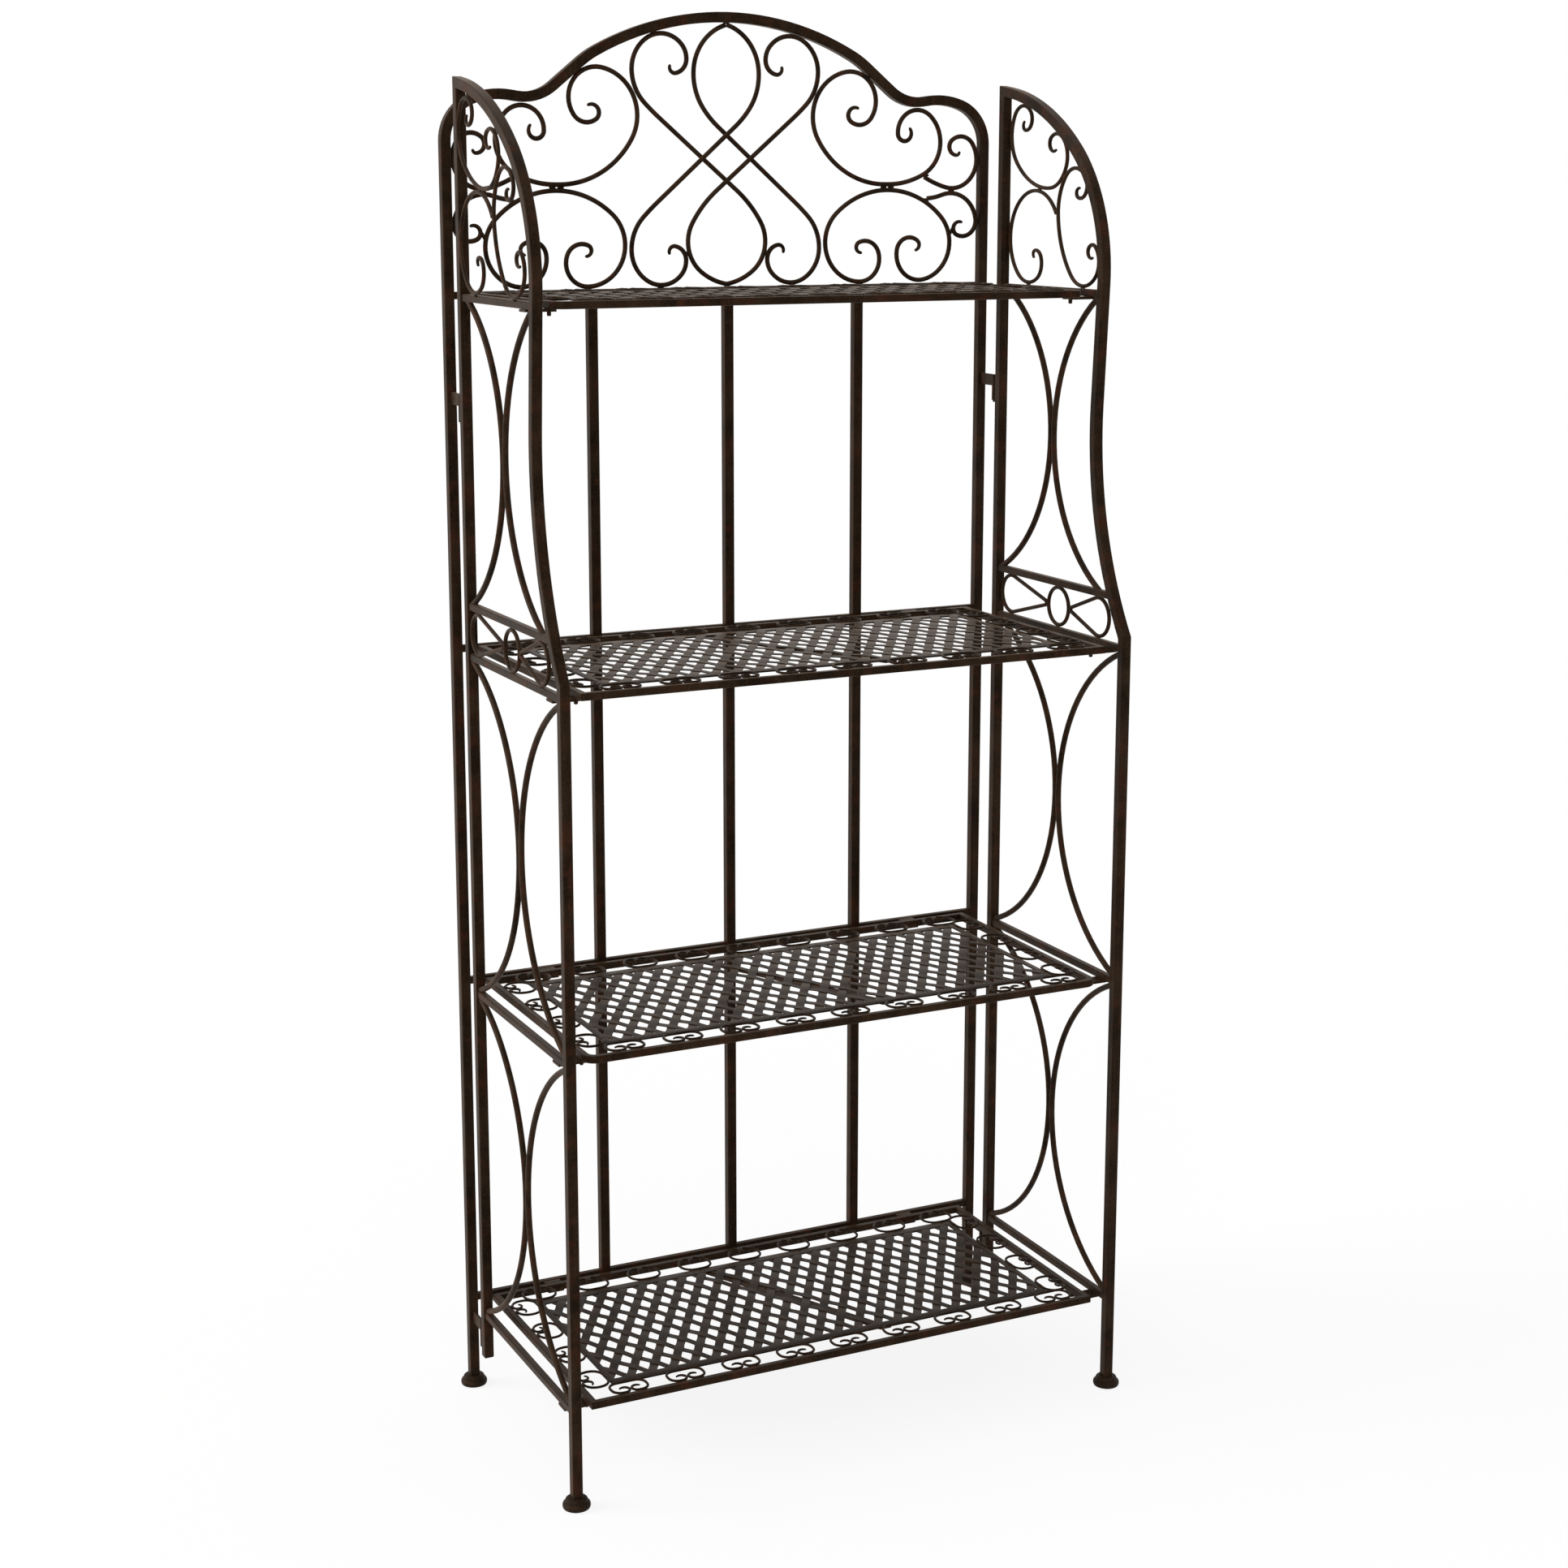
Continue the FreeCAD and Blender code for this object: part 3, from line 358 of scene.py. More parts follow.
def moulded_plastic(name):
    """Matt polypropylene, moulded: dark brown with a fine spark-eroded grain and faint dust."""
    colours = bpy.context.scene.rack_colours
    material, tree, output, coords = new_material(name)
    dust = noise(tree, coords, DUST_MM, detail=4.0)
    tone = ramp(tree, dust.outputs["Fac"], (0.4, tuple(colours.foot_brown)), (0.8, tuple(colours.enamel_mid)))
    grain = noise(tree, coords, PLASTIC_GRAIN_MM, detail=1.0)
    bump = add(tree, "ShaderNodeBump", {"Strength": 0.3, "Distance": 0.0002},
               {"Height": grain.outputs["Fac"]})
    shader = add(tree, "ShaderNodeBsdfPrincipled", {"IOR": 1.49, "Roughness": 0.55,
                                                    "Specular IOR Level": 0.12,
                                                    "Specular Tint": tuple(colours.gloss_tint)},
                 {"Base Color": tone.outputs["Color"], "Normal": bump.outputs["Normal"]})
    tree.links.new(shader.outputs["BSDF"], output.inputs["Surface"])
    return material


def seen_ray(tree):
    """1 for what the camera sees directly, in gloss or through glass, 0 for light that falls on the rack."""
    rays = add(tree, "ShaderNodeLightPath")
    mirrored = add(tree, "ShaderNodeMath", {"operation": "MAXIMUM"},
                   {0: rays.outputs["Is Glossy Ray"], 1: rays.outputs["Is Transmission Ray"]})
    seen = add(tree, "ShaderNodeMath", {"operation": "MAXIMUM"},
               {0: rays.outputs["Is Camera Ray"], 1: mirrored.outputs[0]})
    return seen.outputs[0]


def studio_floor(name):
    """Seamless paper: pale and matt, and for the camera mostly the plain white of the backdrop.

    Only a share of its shading is seen, directly or in gloss, so the rack's shadow stays faint.
    """
    material, tree, output, coords = new_material(name)
    fibre = noise(tree, coords, PAPER_CLOUD_MM, detail=2.0)
    floor_white = tuple(bpy.context.scene.rack_colours.floor_white)
    tone = add(tree, "ShaderNodeMix", {"data_type": "RGBA", 6: floor_white, 7: grey(FLOOR_FIBRE_TONE)},
               {0: fibre.outputs["Fac"]})
    paper = add(tree, "ShaderNodeBsdfDiffuse", links={"Color": tone.outputs[2]})
    share = add(tree, "ShaderNodeMath", {"operation": "MULTIPLY", 1: 1 - SEEN_SHADING}, {0: seen_ray(tree)})
    white = add(tree, "ShaderNodeEmission", {"Strength": 1.0})
    both = add(tree, "ShaderNodeMixShader", links={0: share.outputs[0], 1: paper.outputs["BSDF"],
                                                   2: white.outputs["Emission"]})
    tree.links.new(both.outputs["Shader"], output.inputs["Surface"])
    return material


# --- Modelling steps --------------------------------------------------------------------------

def start_clean():
    """Nothing selected, so that an operator acts on the new object only."""
    if bpy.context.object and bpy.context.object.mode != "OBJECT":
        bpy.ops.object.mode_set(mode="OBJECT")
    bpy.ops.object.select_all(action="DESELECT")


def pick(obj, wanted, kind="VERT"):
    """In edit mode, selects the vertices or faces for which wanted is true."""
    bpy.ops.mesh.select_mode(type=kind)
    bpy.ops.mesh.select_all(action="DESELECT")
    bpy.ops.object.mode_set(mode="OBJECT")
    for part in obj.data.vertices if kind == "VERT" else obj.data.polygons:
        part.select = wanted(part)
    bpy.ops.object.mode_set(mode="EDIT")


def apply_modifier(obj, kind, **settings):
    """Adds a modifier with its settings and applies it."""
    modifier = obj.modifiers.new(kind.title(), kind)
    for key, value in settings.items():
        setattr(modifier, key, value)
    bpy.context.view_layer.objects.active = obj
    bpy.ops.object.modifier_apply(modifier=modifier.name)


def array(obj, count, offset, **settings):
    """Repeats an object along an offset."""
    apply_modifier(obj, "ARRAY", count=count, use_relative_offset=False, use_constant_offset=True,
                   constant_offset_displace=offset, **settings)


def round_edges(obj, width, segments):
    """Rounds the sharp edges of an object."""
    apply_modifier(obj, "BEVEL", width=width, segments=segments, limit_method="ANGLE",
                   angle_limit=math.radians(EDGE_ANGLE))


def smooth(angle):
    """Shades the active object smooth, but for edges sharper than an angle in degrees."""
    bpy.ops.object.shade_smooth_by_angle(angle=math.radians(angle))


def joined(objects, name):
    """Joins objects into the first and names it."""
    start_clean()
    for obj in objects:
        obj.select_set(True)
    bpy.context.view_layer.objects.active = objects[0]
    bpy.ops.object.join()
    objects[0].name = name
    objects[0].data.name = name
    return objects[0]


def select_only(obj):
    """Selects one object alone and makes it the active one."""
    start_clean()
    obj.select_set(True)
    bpy.context.view_layer.objects.active = obj


def settle(obj):
    """Puts an object's place, turn and size into its mesh."""
    select_only(obj)
    bpy.ops.object.transform_apply(location=True, rotation=True, scale=True)


def moved(obj, place, turn=(0, 0, 0)):
    """Turns an object about the axes, moves it to a place and settles it there."""
    obj.rotation_euler = turn
    obj.location = place
    settle(obj)
    return obj


def placed_copy(obj, place, turn=(0, 0, 0)):
    """Copy with its own mesh, turned about the axes and moved to a place."""
    select_only(obj)
    bpy.ops.object.duplicate()
    return moved(bpy.context.object, place, turn)


def finish_piece(obj, body, material):
    """Gives a piece its finish and makes it ride on its body."""
    obj.data.materials.clear()
    obj.data.materials.append(material)
    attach(obj, body)


# --- Scrolls ----------------------------------------------------------------------------------

def run_of_bends(start, heading, steps, largest_turn=LARGEST_TURN):
    """Points along tangent bends and straights, in millimetres."""
    x, y = start
    points = [(x, y)]
    for step in steps:
        radius, turn = step if isinstance(step, tuple) else (0, 0)
        arc = radius * math.radians(abs(turn))
        pieces = max(1, math.ceil(abs(turn) / largest_turn), math.ceil(arc / LONGEST_CHORD))
        chord = 2 * radius * math.sin(math.radians(abs(turn) / pieces / 2)) if turn else step
        for _ in range(pieces):
            heading += turn / pieces / 2
            x += chord * math.cos(math.radians(heading))
            y += chord * math.sin(math.radians(heading))
            heading += turn / pieces / 2
            points.append((x, y))
    return points


def tip_factor(distance, diameter):
    """How thick a forged rod is at a distance from its tip, as a share of its full thickness."""
    drawn_out = 1 - TIP_THINNING * max(0.0, 1 - distance / (TIP_LENGTH * diameter)) ** 2
    end_round = max(0.0, 1 - distance / (TIP_END_LENGTH * diameter))
    return drawn_out * math.sqrt(1 - TIP_ROUNDING * end_round ** 2)


def forged_rod(name, points, diameter, sides, tips):
    """Round rod through points in space; tips says whether its start and end are drawn out or cut."""
    start_clean()
    bpy.ops.curve.primitive_bezier_curve_add(location=(0, 0, 0))
    rod = bpy.context.object
    rod.name = name
    curve = rod.data
    curve.splines.clear()
    line = curve.splines.new("POLY")
    line.points.add(len(points) - 1)
    travelled = [0.0]
    for before, after in zip(points, points[1:]):
        travelled.append(travelled[-1] + math.dist(before, after))
    for knot, place, distance in zip(line.points, points, travelled):
        knot.co = tuple(place) + (1.0,)
        from_start = tip_factor(distance, diameter) if tips[0] else 1.0
        from_end = tip_factor(travelled[-1] - distance, diameter) if tips[1] else 1.0
        knot.radius = min(from_start, from_end)
    curve.dimensions = "3D"
    curve.bevel_depth = diameter / 2
    curve.bevel_resolution = (sides - 4) // 2
    curve.use_fill_caps = True
    bpy.ops.object.convert(target="MESH")
    smooth(ROD_SMOOTH_ANGLE)
    return rod


def back_rod(sizes, name, scroll, depth, flip):
    """Scroll of the back panel; flip is -1 for its mirror image."""
    start, heading, steps, tips = scroll
    points = [(flip * x * MM, BACK_PLANE + depth, z * MM) for x, z in run_of_bends(start, heading, steps)]
    return forged_rod(name, points, sizes.back_rod, BACK_ROD_SIDES, tips)


def side_rod(sizes, name, scroll, flip):
    """Scroll at the top of a side frame; flip is -1 for the left side."""
    start, heading, steps, tips = scroll
    points = [(flip * SIDE_PLANE, BACK_PLANE + y * MM, z * MM)
              for y, z in run_of_bends(start, heading, steps)]
    return forged_rod(name, points, sizes.side_rod, SIDE_ROD_SIDES, tips)


def weld_bead(sizes):
    """Short bead of weld along X: a drawn-out blob with the ripples of the torch."""
    start_clean()
    bpy.ops.mesh.primitive_uv_sphere_add(segments=BEAD_SIDES, ring_count=BEAD_RINGS, radius=0.5,
                                         location=(0, 0, 0))
    bead = bpy.context.object
    for waist in BEAD_WAISTS:
        bpy.ops.object.mode_set(mode="EDIT")
        pick(bead, lambda vertex: abs(vertex.co.z - waist) < BEAD_WAIST_REACH)
        bpy.ops.transform.resize(value=(BEAD_WAIST_WIDTH, BEAD_WAIST_WIDTH, 1))
        bpy.ops.object.mode_set(mode="OBJECT")
    bead.scale = (sizes.weld_width, sizes.weld_width, sizes.weld_length)
    moved(bead, (0, 0, 0), (0, math.pi / 2, 0))
    bpy.ops.object.shade_smooth()
    return bead


class RACK_OT_scrolls(bpy.types.Operator):
    """Forges the scrolls of the back and the sides, with drawn-out tips and the welds that hold them"""
    bl_idname = "rack.scrolls"
    bl_label = "Scrolls"

    def execute(self, context):
        sizes = context.scene.rack_sizes
        material = rustic_enamel("Rustic enamel on forged rod", cloud_mm=35, fleck_mm=1.8, roughness=0.45)
        groups = {
            "centre_scrolls_front": ((HEART, -BACK_LAYER, -1), (UPTURNED_HEART, -BACK_LAYER, 1)),
            "centre_scrolls_rear": ((HEART, BACK_LAYER, 1), (UPTURNED_HEART, BACK_LAYER, -1)),
            "upper_c_scrolls": ((UPPER_C, 0, 1), (UPPER_C, 0, -1)),
            "lower_c_scrolls": ((LOWER_C, 0, 1), (LOWER_C, 0, -1)),
            "small_c_scrolls": ((UPPER_SMALL_C, 0, 1), (UPPER_SMALL_C, 0, -1),
                                (LOWER_SMALL_C, 0, 1), (LOWER_SMALL_C, 0, -1)),
        }
        for node, scrolls in groups.items():
            rods = [back_rod(sizes, node + "_rod", *scroll) for scroll in scrolls]
            group = joined(rods, "forged_" + node)
            finish_piece(group, "back_frame", material)
            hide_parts(node)
        for side, flip in SIDES:
            rods = [side_rod(sizes, side + "_rod", scroll, flip)
                    for scroll in (SIDE_UPPER, SIDE_FRONT, SIDE_REAR)]
            group = joined(rods, "forged_" + side + "_side_scrolls")
            finish_piece(group, "side_" + side, material)
            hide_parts(side + "_side_scrolls")
        self.weld_scrolls(sizes, material)
        return {"FINISHED"}

    def weld_scrolls(self, sizes, material):
        """Sets a bead wherever the scrolls touch."""
        bead = weld_bead(sizes)
        beads = []
        for (x, z), heading in BACK_WELDS:
            for flip in (1, -1) if x else (1,):
                turn = (0, -math.radians(flip * heading), 0)
                beads.append(placed_copy(bead, (flip * x * MM, BACK_PLANE, z * MM), turn))
        finish_piece(joined(beads, "back_scroll_welds"), "back_frame", material)
        for side, flip in SIDES:
            beads = []
            for (y, z), heading in SIDE_WELDS:
                turn = (math.radians(heading), 0, math.pi / 2)
                beads.append(placed_copy(bead, (flip * SIDE_PLANE, BACK_PLANE + y * MM, z * MM), turn))
            finish_piece(joined(beads, side + "_scroll_welds"), "side_" + side, material)
        bpy.data.objects.remove(bead)


# --- Rim scrolls ------------------------------------------------------------------------------

def rim_scroll(sizes, depth, shape):
    """One scroll between a bar (along X, at the origin) and the panel, with its welds."""
    length, end_bend, foot_bend = shape
    near = sizes.rim_rod / 2
    depth += 2 * RIM_OVERLAP
    run = length / 2 - near - end_bend
    foot = run - near - foot_bend
    round_end = (end_bend / MM, -90)
    steps = (run / MM, round_end, (depth - 2 * near - 2 * end_bend) / MM, round_end, foot / MM,
             (foot_bend / MM, -90), (sizes.rim_curl_bend / MM, -RIM_CURL_TURN))
    run_points = run_of_bends((0, (depth - near) / MM), 0, steps, RIM_LARGEST_TURN)
    half = [(x * MM, y * MM, 0) for x, y in run_points]
    points = [(-x, y, z) for x, y, z in reversed(half[1:])] + half
    rod = forged_rod("rim_rod", points, sizes.rim_rod, RIM_ROD_SIDES, BOTH)
    bead = weld_bead(sizes)
    beads = [placed_copy(bead, place) for place in ((run + near, near / 2, 0), (-run - near, near / 2, 0),
                                                    (0, depth - near / 2, 0))]
    bpy.data.objects.remove(bead)
    return moved(joined([rod] + beads, "rim_scroll"), (0, -RIM_OVERLAP, 0))


def scroll_row(sizes, kind, depth, count, first, way=1):
    """Scrolls side by side along a bar, the first one's middle at a place along it.

    Way is -1 where they follow each other towards -X.
    """
    row = rim_scroll(sizes, depth, RIM_SHAPES[kind])
    array(row, count, (way * RIM_PITCHES[kind], 0, 0))
    return moved(row, (first, 0, 0))


def rim_rows(sizes, shelf):
    """The four rows of scrolls round the panel of a shelf, at their places."""
    level = SHELF_LEVELS[shelf] + BAR
    front_bar = FRONT_BAR[shelf]
    front_depth = PANEL_FRONT[shelf] - front_bar
    rear_depth = REAR_BAR - PANEL_REAR
    side_depth = SIDE_BARS - PANEL_HALF
    side_count = RIM_SIDE_COUNT[shelf]
    half = (RIM_COUNT - 1) / 2
    front_first = RIM_OFFSETS["front"] - half * RIM_PITCHES["front"]
    rear_first = half * RIM_PITCHES["rear"] - RIM_OFFSETS["rear"]
    front = scroll_row(sizes, "front", front_depth, RIM_COUNT, front_first)
    rear = scroll_row(sizes, "rear", rear_depth, RIM_COUNT, rear_first, way=-1)
    right = scroll_row(sizes, "side", side_depth, side_count, RIM_SIDE_START, way=-1)
    left = scroll_row(sizes, "side", side_depth, side_count, -RIM_SIDE_START)
    return [moved(front, (0, front_bar, level)),
            moved(rear, (0, REAR_BAR, level), (0, 0, math.pi)),
            moved(right, (SIDE_BARS, 0, level), (0, 0, math.pi / 2)),
            moved(left, (-SIDE_BARS, 0, level), (0, 0, -math.pi / 2))]


class RACK_OT_rim_scrolls(bpy.types.Operator):
    """Sets the small wire scrolls round each woven panel"""
    bl_idname = "rack.rim_scrolls"
    bl_label = "Rim scrolls"

    def execute(self, context):
        sizes = context.scene.rack_sizes
        # shade=0.5 is painted shade: a darker copy of the enamel, so that the thin wire reads near black
        material = rustic_enamel("Rustic enamel on rim wire", cloud_mm=25, fleck_mm=1.6, roughness=0.45,
                                 shade=0.5)
        for shelf in SHELVES:
            body = f"shelf_{shelf}"
            scrolls = joined(rim_rows(sizes, shelf), body + "_forged_rim")
            finish_piece(scrolls, body, material)
            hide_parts(body + "_rim_scrolls")
        return {"FINISHED"}


# --- Woven shelves ----------------------------------------------------------------------------

def weave_strand(sizes, width):
    """One strand of the weave, several crossings long, rising over one and dipping under the next.

    It starts as a strip one rise and one dip long, along Y.
    """
    crossing = math.hypot(sizes.weave_across, sizes.weave_deep) / 2
    period = 2 * crossing
    start_clean()
    bpy.ops.mesh.primitive_grid_add(x_subdivisions=2, y_subdivisions=STRAND_ROWS, size=1, location=(0, 0, 0))
    strip = bpy.context.object
    bpy.ops.object.mode_set(mode="EDIT")
    bpy.ops.transform.resize(value=(width, period, 1))
    bpy.ops.object.mode_set(mode="OBJECT")
    step = period / STRAND_ROWS
    for row in range(STRAND_ROWS + 1):
        place = (row - STRAND_ROWS / 2) * step
        rise = sizes.strand_thickness / 2 * math.cos(math.pi * place / crossing)
        flare = (0.5 + 0.5 * math.cos(2 * math.pi * place / crossing)) ** 2
        widen = 1 + 2 * sizes.strand_flare * flare / width
        bpy.ops.object.mode_set(mode="EDIT")
        pick(strip, lambda vertex: abs(vertex.co.y - place) < step / 4)
        bpy.ops.transform.resize(value=(widen, 1, 1))
        bpy.ops.transform.translate(value=(0, 0, rise))
        bpy.ops.object.mode_set(mode="OBJECT")
    array(strip, STRAND_PERIODS, (0, period, 0), use_merge_vertices=True, merge_threshold=WEAVE_MERGE)
    apply_modifier(strip, "SOLIDIFY", thickness=sizes.strand_thickness, offset=0.0)
    round_edges(strip, sizes.strand_edge, 1)
    return moved(strip, (0, -PERIODS_BEFORE_NODE * period, 0))


def weave_family(sizes, strand):
    """Strands side by side, leaning as the diamonds do, round the weave's reference crossing."""
    lean = math.atan2(sizes.weave_across, sizes.weave_deep)
    moved(strand, (0, 0, 0), (0, 0, -lean))
    count = 2 * int(PANEL_HALF / sizes.weave_across) + SPARE_STRANDS
    array(strand, count, (sizes.weave_across, 0, 0))
    return moved(strand, (-(count // 2) * sizes.weave_across, 0, 0))


def cut_to_panel(obj, half_x, low, high):
    """Cuts away what lies outside a rectangle and closes the cut ends."""
    select_only(obj)
    for point, normal in (((half_x, 0, 0), (1, 0, 0)), ((-half_x, 0, 0), (-1, 0, 0)),
                          ((0, low, 0), (0, -1, 0)), ((0, high, 0), (0, 1, 0))):
        bpy.ops.object.mode_set(mode="EDIT")
        bpy.ops.mesh.select_all(action="SELECT")
        bpy.ops.mesh.bisect(plane_co=point, plane_no=normal, use_fill=True, clear_outer=True,
                            threshold=WEAVE_CUT)
        bpy.ops.object.mode_set(mode="OBJECT")


def border_strip(sizes, low, high):
    """Flat frame of strip round the weave."""
    start_clean()
    bpy.ops.mesh.primitive_plane_add(size=1, location=(0, (low + high) / 2, 0))
    strip = bpy.context.object
    strip.scale = (2 * PANEL_HALF, high - low, 1)
    settle(strip)
    window_x = PANEL_HALF - WEAVE_BORDER_X
    window = (low + WEAVE_BORDER_Y, high - WEAVE_BORDER_Y)
    bpy.ops.object.mode_set(mode="EDIT")
    for point, normal in (((window_x, 0, 0), (1, 0, 0)), ((-window_x, 0, 0), (1, 0, 0)),
                          ((0, window[0], 0), (0, 1, 0)), ((0, window[1], 0), (0, 1, 0))):
        bpy.ops.mesh.select_all(action="SELECT")
        bpy.ops.mesh.bisect(plane_co=point, plane_no=normal)
    pick(strip, lambda face: abs(face.center.x) < window_x and window[0] < face.center.y < window[1], "FACE")
    bpy.ops.mesh.delete(type="FACE")
    bpy.ops.object.mode_set(mode="OBJECT")
    apply_modifier(strip, "SOLIDIFY", thickness=PANEL_THICK, offset=0.0)
    round_edges(strip, sizes.border_edge, 2)
    return strip


def woven_panel(sizes, name, front, top_node):
    """Woven panel with its border, its middle at the height of the origin."""
    right_leaning = weave_family(sizes, weave_strand(sizes, sizes.right_strand_width))
    left_leaning = weave_family(sizes, weave_strand(sizes, sizes.left_strand_width))
    moved(left_leaning, (0, 0, 0), (0, math.pi, 0))
    weave = moved(joined([right_leaning, left_leaning], name), top_node + (0,))
    low = front + WEAVE_BORDER_Y / 2
    high = PANEL_REAR - WEAVE_BORDER_Y / 2
    cut_to_panel(weave, PANEL_HALF - WEAVE_BORDER_X / 2, low, high)
    border = border_strip(sizes, front, PANEL_REAR)
    panel = joined([weave, border], name)
    smooth(WEAVE_SMOOTH_ANGLE)
    return panel


class RACK_OT_woven_panels(bpy.types.Operator):
    """Weaves the panel of each shelf from flat strands that pass over and under each other"""
    bl_idname = "rack.woven_panels"
    bl_label = "Woven panels"

    def execute(self, context):
        sizes = context.scene.rack_sizes
        # shade=0.35 is painted shade: a darker copy of the enamel that offsets the light falling on the
        # weave's top faces
        material = rustic_enamel("Rustic enamel on woven strip", cloud_mm=30, fleck_mm=2.0, roughness=0.42,
                                 shade=0.35, gloss_level=0.11)
        for shelf in SHELVES:
            body = f"shelf_{shelf}"
            panel = woven_panel(sizes, body + "_weave", PANEL_FRONT[shelf], WEAVE_TOP_NODES[shelf])
            moved(panel, (0, 0, SHELF_LEVELS[shelf] + BAR - PANEL_THICK / 2))
            finish_piece(panel, body, material)
            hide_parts(body + "_woven_panel")
        return {"FINISHED"}


# --- Feet, pegs and straps --------------------------------------------------------------------

def turned_foot():
    """Bun foot with a collar round the tube that stands in it, at the origin."""
    radius, height = FOOT_OUTLINE[0]
    start_clean()
    bpy.ops.mesh.primitive_circle_add(vertices=FOOT_SIDES, radius=radius, fill_type="NGON",
                                      location=(0, 0, height))
    foot = bpy.context.object
    bpy.ops.object.mode_set(mode="EDIT")
    bpy.ops.mesh.select_all(action="SELECT")
    for next_radius, next_height in FOOT_OUTLINE[1:]:
        bpy.ops.mesh.extrude_region_move(TRANSFORM_OT_translate={"value": (0, 0, next_height - height)})
        bpy.ops.transform.resize(value=(next_radius / radius, next_radius / radius, 1))
        radius, height = next_radius, next_height
    bpy.ops.mesh.select_all(action="SELECT")
    bpy.ops.mesh.normals_make_consistent(inside=False)
    bpy.ops.object.mode_set(mode="OBJECT")
    smooth(EDGE_ANGLE)
    settle(foot)
    return foot


def locating_peg(sizes):
    """Short peg with a rounded tip, its top at the origin."""
    start_clean()
    bpy.ops.mesh.primitive_cylinder_add(vertices=PEG_SIDES, radius=sizes.peg_width / 2,
                                        depth=sizes.peg_length, location=(0, 0, -sizes.peg_length / 2))
    peg = bpy.context.object
    settle(peg)
    round_edges(peg, sizes.peg_width / 4, 3)
    smooth(EDGE_ANGLE)
    return peg


def hinge_strap(sizes):
    """Strap from the crossbar down and round a shelf's rear bar.

    The bar's underside is at the origin's height.
    """
    steel = sizes.strap_steel
    first_fold = HINGE_Y + (BAR + steel) / 2
    crossbar = BACK_PLANE - BAR / 2
    start_clean()
    bpy.ops.mesh.primitive_plane_add(size=1, location=(0, (first_fold + crossbar) / 2, BAR - steel))
    strap = bpy.context.object
    strap.scale = (sizes.strap_width, crossbar - first_fold, 1)
    settle(strap)
    bpy.ops.object.mode_set(mode="EDIT")
    pick(strap, lambda vertex: vertex.co.y < (first_fold + crossbar) / 2)
    bpy.ops.mesh.select_mode(type="EDGE")
    for fold in ((0, 0, -BAR + steel / 2), (0, -BAR - steel, 0), (0, 0, STRAP_LIP * BAR)):
        bpy.ops.mesh.extrude_region_move(TRANSFORM_OT_translate={"value": fold})
    bpy.ops.object.mode_set(mode="OBJECT")
    apply_modifier(strap, "SOLIDIFY", thickness=steel, offset=0.0)
    round_edges(strap, steel / 3, 2)
    smooth(EDGE_ANGLE)
    return strap


class RACK_OT_fittings(bpy.types.Operator):
    """Adds the turned feet, the pegs under the shelves and the hinge straps"""
    bl_idname = "rack.fittings"
    bl_label = "Feet, pegs and straps"

    def execute(self, context):
        sizes = context.scene.rack_sizes
        plastic = moulded_plastic("Moulded polypropylene bun feet")
        steel = rustic_enamel("Rustic enamel on small fittings", cloud_mm=20, fleck_mm=1.6, roughness=0.4)
        feet_of_bodies = (
            ("back_feet", "back_frame", ((-POST_X, BACK_PLANE, 0), (POST_X, BACK_PLANE, 0))),
            ("left_front_foot", "side_left", ((-POST_X, LEG_Y, 0),)),
            ("right_front_foot", "side_right", ((POST_X, LEG_Y, 0),)),
        )
        foot = turned_foot()
        for node, body, places in feet_of_bodies:
            feet = joined([placed_copy(foot, place) for place in places], "turned_" + node)
            finish_piece(feet, body, plastic)
            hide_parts(node)
        peg = locating_peg(sizes)
        for shelf in SHELVES:
            body = f"shelf_{shelf}"
            pegs = [placed_copy(peg, (x, FRONT_BAR[shelf] + PEG_BEHIND_BAR, SHELF_LEVELS[shelf]))
                    for x in (-PEG_X, PEG_X)]
            pair = joined(pegs, body + "_locating_pegs")
            finish_piece(pair, body, steel)
            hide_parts(body + "_pegs")
        strap = hinge_strap(sizes)
        straps = [placed_copy(strap, (x, 0, level))
                  for level in SHELF_LEVELS.values() for x in (-STRAP_X, STRAP_X)]
        folded = joined(straps, "folded_hinge_straps")
        finish_piece(folded, "back_frame", steel)
        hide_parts("shelf_hinge_straps")
        for pattern in (foot, peg, strap):
            bpy.data.objects.remove(pattern)
        return {"FINISHED"}


# --- Finishes on the solids -------------------------------------------------------------------

class RACK_OT_finishes(bpy.types.Operator):
    """Gives every steel and plastic piece its finish"""
    bl_idname = "rack.finishes"
    bl_label = "Finishes"

    def execute(self, context):
        finishes = {
            "frame_steel": rustic_enamel("Rustic enamel on square tube", cloud_mm=60, fleck_mm=2.2,
                                         roughness=0.42, streaks=0.3),
            "scroll_steel": rustic_enamel("Rustic enamel on bent rod", cloud_mm=35, fleck_mm=1.8,
                                          roughness=0.45),
            "weave_steel": rustic_enamel("Rustic enamel on flat strap", cloud_mm=30, fleck_mm=2.0,
                                         roughness=0.5),
            "hinge_steel": rustic_enamel("Rustic enamel on hinge parts", cloud_mm=20, fleck_mm=1.6,
                                         roughness=0.4),
            "foot_plastic": moulded_plastic("Moulded polypropylene feet"),
        }
        for piece in frame["record"]["subparts"]:
            node = frame["nodes"][piece["node"]]
            for slot in node.material_slots:
                slot.material = finishes[piece["material_slot"]]
        return {"FINISHED"}


# --- Studio -----------------------------------------------------------------------------------

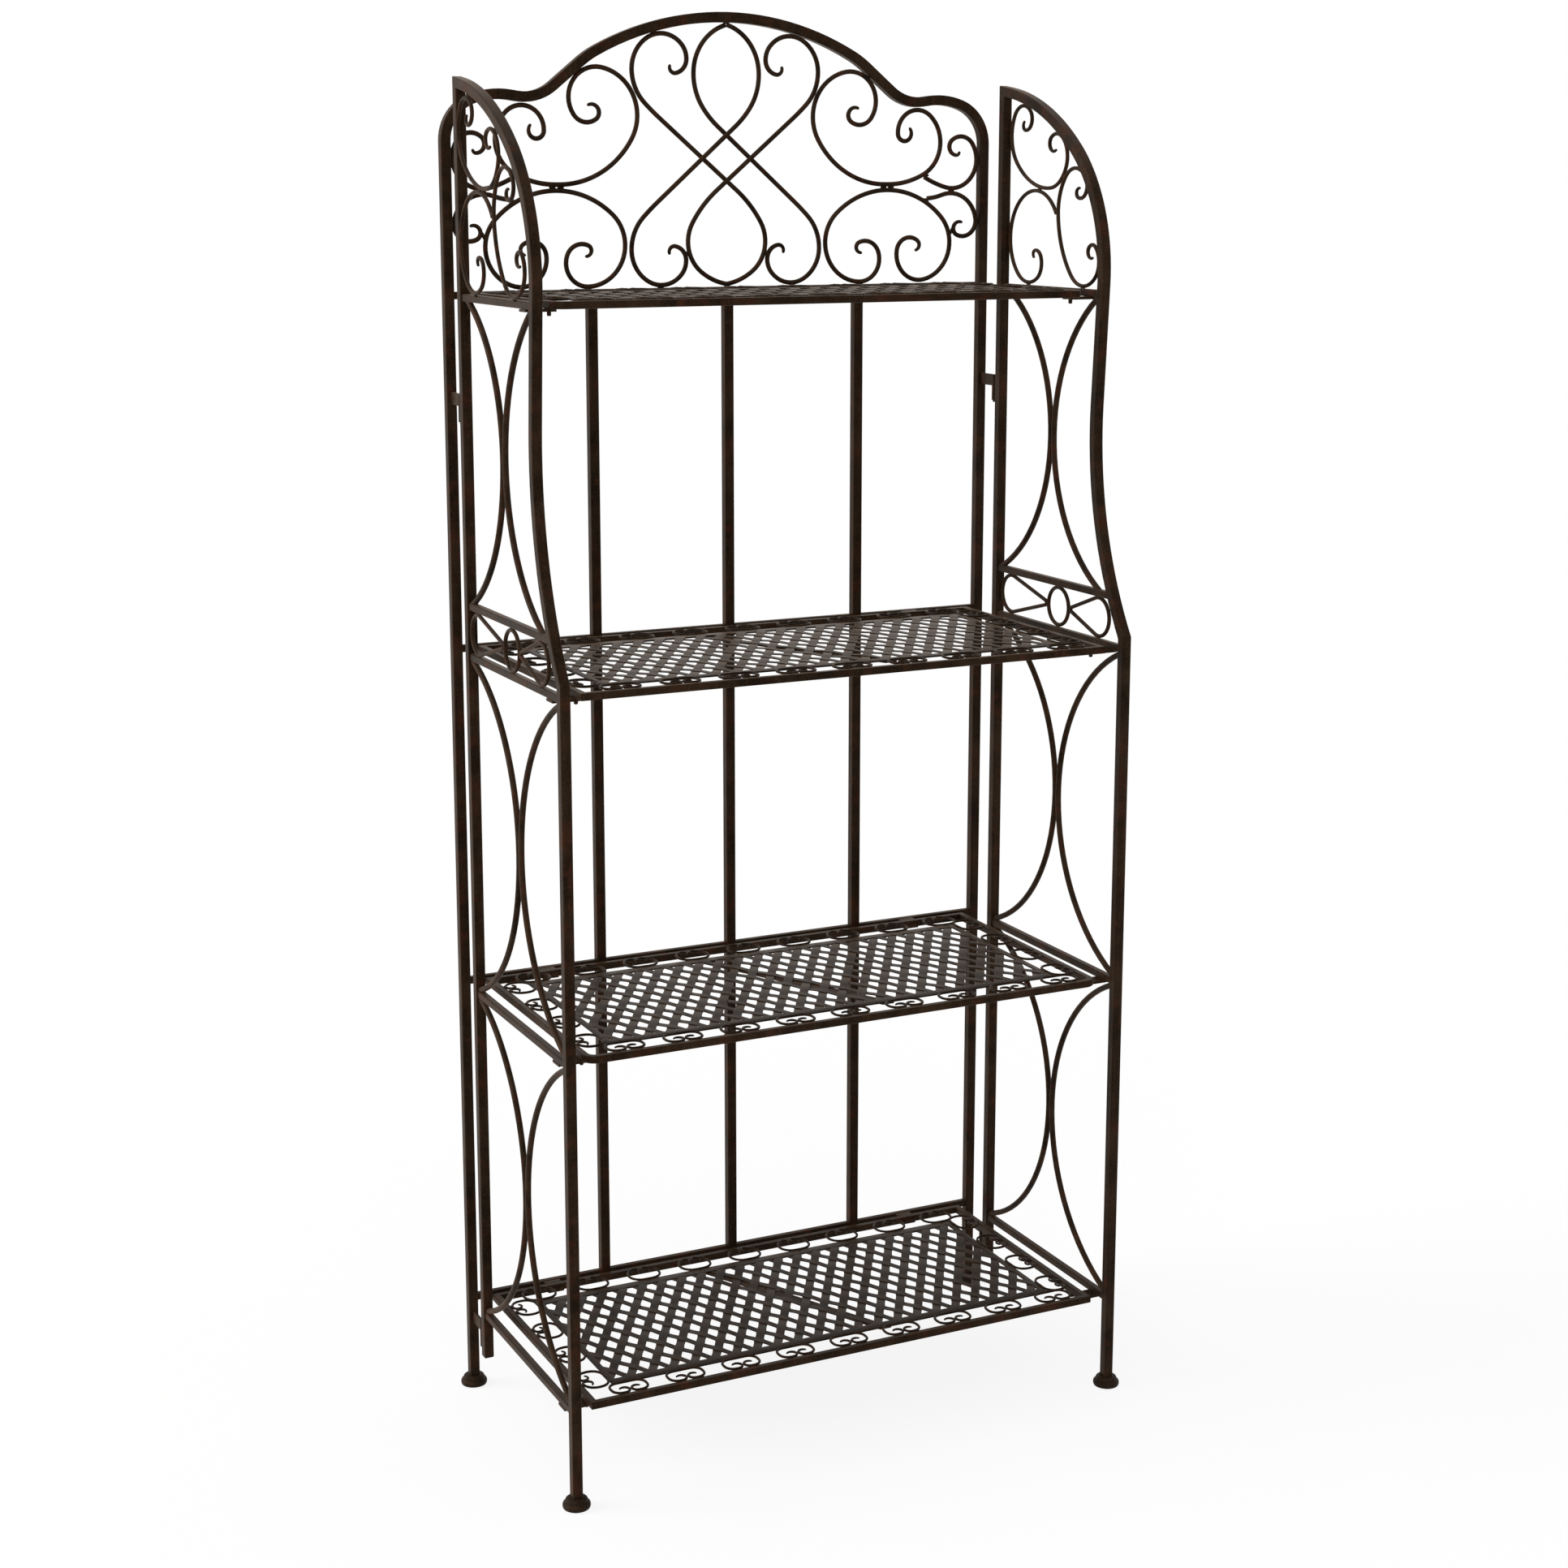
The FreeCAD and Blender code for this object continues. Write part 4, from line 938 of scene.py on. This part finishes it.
class RACK_OT_studio(bpy.types.Operator):
    """Sets up the pale floor, the soft lights and the camera"""
    bl_idname = "rack.studio"
    bl_label = "Studio"

    def execute(self, context):
        self.lay_floor()
        self.light_sky(context.scene)
        self.set_suns()
        self.set_camera(context.scene)
        context.scene.view_settings.view_transform = "Standard"
        return {"FINISHED"}

    def lay_floor(self):
        """A wide pale disc just under the feet."""
        start_clean()
        bpy.ops.mesh.primitive_circle_add(vertices=FLOOR_SIDES, radius=FLOOR_RADIUS, fill_type="NGON",
                                          location=(0, 0, -FLOOR_BELOW))
        floor = bpy.context.object
        floor.name = "studio_floor"
        settle(floor)
        floor.data.materials.append(studio_floor("Seamless paper"))

    def light_sky(self, scene):
        """White backdrop, which lights the rack less than the camera sees of it."""
        world = bpy.data.worlds.new("Studio")
        scene.world = world
        world.use_nodes = True
        tree = world.node_tree
        tree.nodes.clear()
        output = add(tree, "ShaderNodeOutputWorld")
        strength = add(tree, "ShaderNodeMapRange", {"To Min": SKY_LIGHT, "To Max": SKY_SEEN},
                       {"Value": seen_ray(tree)})
        sky = add(tree, "ShaderNodeBackground", {"Color": grey(1.0)},
                  {"Strength": strength.outputs["Result"]})
        tree.links.new(sky.outputs["Background"], output.inputs["Surface"])

    def set_suns(self):
        """Large soft lamps: key, fill and one from above."""
        for name, strength, softness, (turn_x, turn_y) in SUNS:
            start_clean()
            bpy.ops.object.light_add(type="SUN", location=(0, 0, SUN_HEIGHT))
            sun = bpy.context.object
            sun.name = name
            sun.data.energy = strength
            sun.data.angle = math.radians(softness)
            sun.rotation_euler = (math.radians(turn_x), math.radians(turn_y), 0)

    def set_camera(self, scene):
        """Camera that looks a little down on the rack from the front left."""
        turn = (math.radians(90 - CAMERA_PITCH), 0, math.radians(-CAMERA_YAW))
        start_clean()
        bpy.ops.object.camera_add(location=CAMERA_PLACE, rotation=turn)
        camera = bpy.context.object
        camera.name = "camera"
        camera.data.sensor_width = CAMERA_SENSOR
        camera.data.lens = CAMERA_LENS
        camera.data.shift_y = CAMERA_SHIFT
        scene.camera = camera


class RACK_PT_panel(bpy.types.Panel):
    """Sizes, colours and steps of the rack"""
    bl_idname = "RACK_PT_panel"
    bl_label = "Bakers rack"
    bl_space_type = "VIEW_3D"
    bl_region_type = "UI"
    bl_category = "Rack"

    def draw(self, context):
        for settings in (context.scene.rack_sizes, context.scene.rack_colours):
            box = self.layout.box()
            for name in settings.__annotations__:
                box.prop(settings, name)
        for operator in OPERATORS:
            self.layout.operator(operator.bl_idname)


OPERATORS = (RACK_OT_finishes, RACK_OT_scrolls, RACK_OT_rim_scrolls, RACK_OT_woven_panels, RACK_OT_fittings,
             RACK_OT_studio)
CLASSES = (RackSizes, RackColours) + OPERATORS + (RACK_PT_panel,)


def register():
    for cls in CLASSES:
        bpy.utils.register_class(cls)
    bpy.types.Scene.rack_sizes = PointerProperty(type=RackSizes)
    bpy.types.Scene.rack_colours = PointerProperty(type=RackColours)


def unregister():
    del bpy.types.Scene.rack_colours
    del bpy.types.Scene.rack_sizes
    for cls in reversed(CLASSES):
        bpy.utils.unregister_class(cls)


def main():
    """Dresses the rack and sets up the studio."""
    register()
    bpy.ops.rack.finishes()
    bpy.ops.rack.scrolls()
    bpy.ops.rack.rim_scrolls()
    bpy.ops.rack.woven_panels()
    bpy.ops.rack.fittings()
    bpy.ops.rack.studio()


if __name__ == "__main__":
    main()
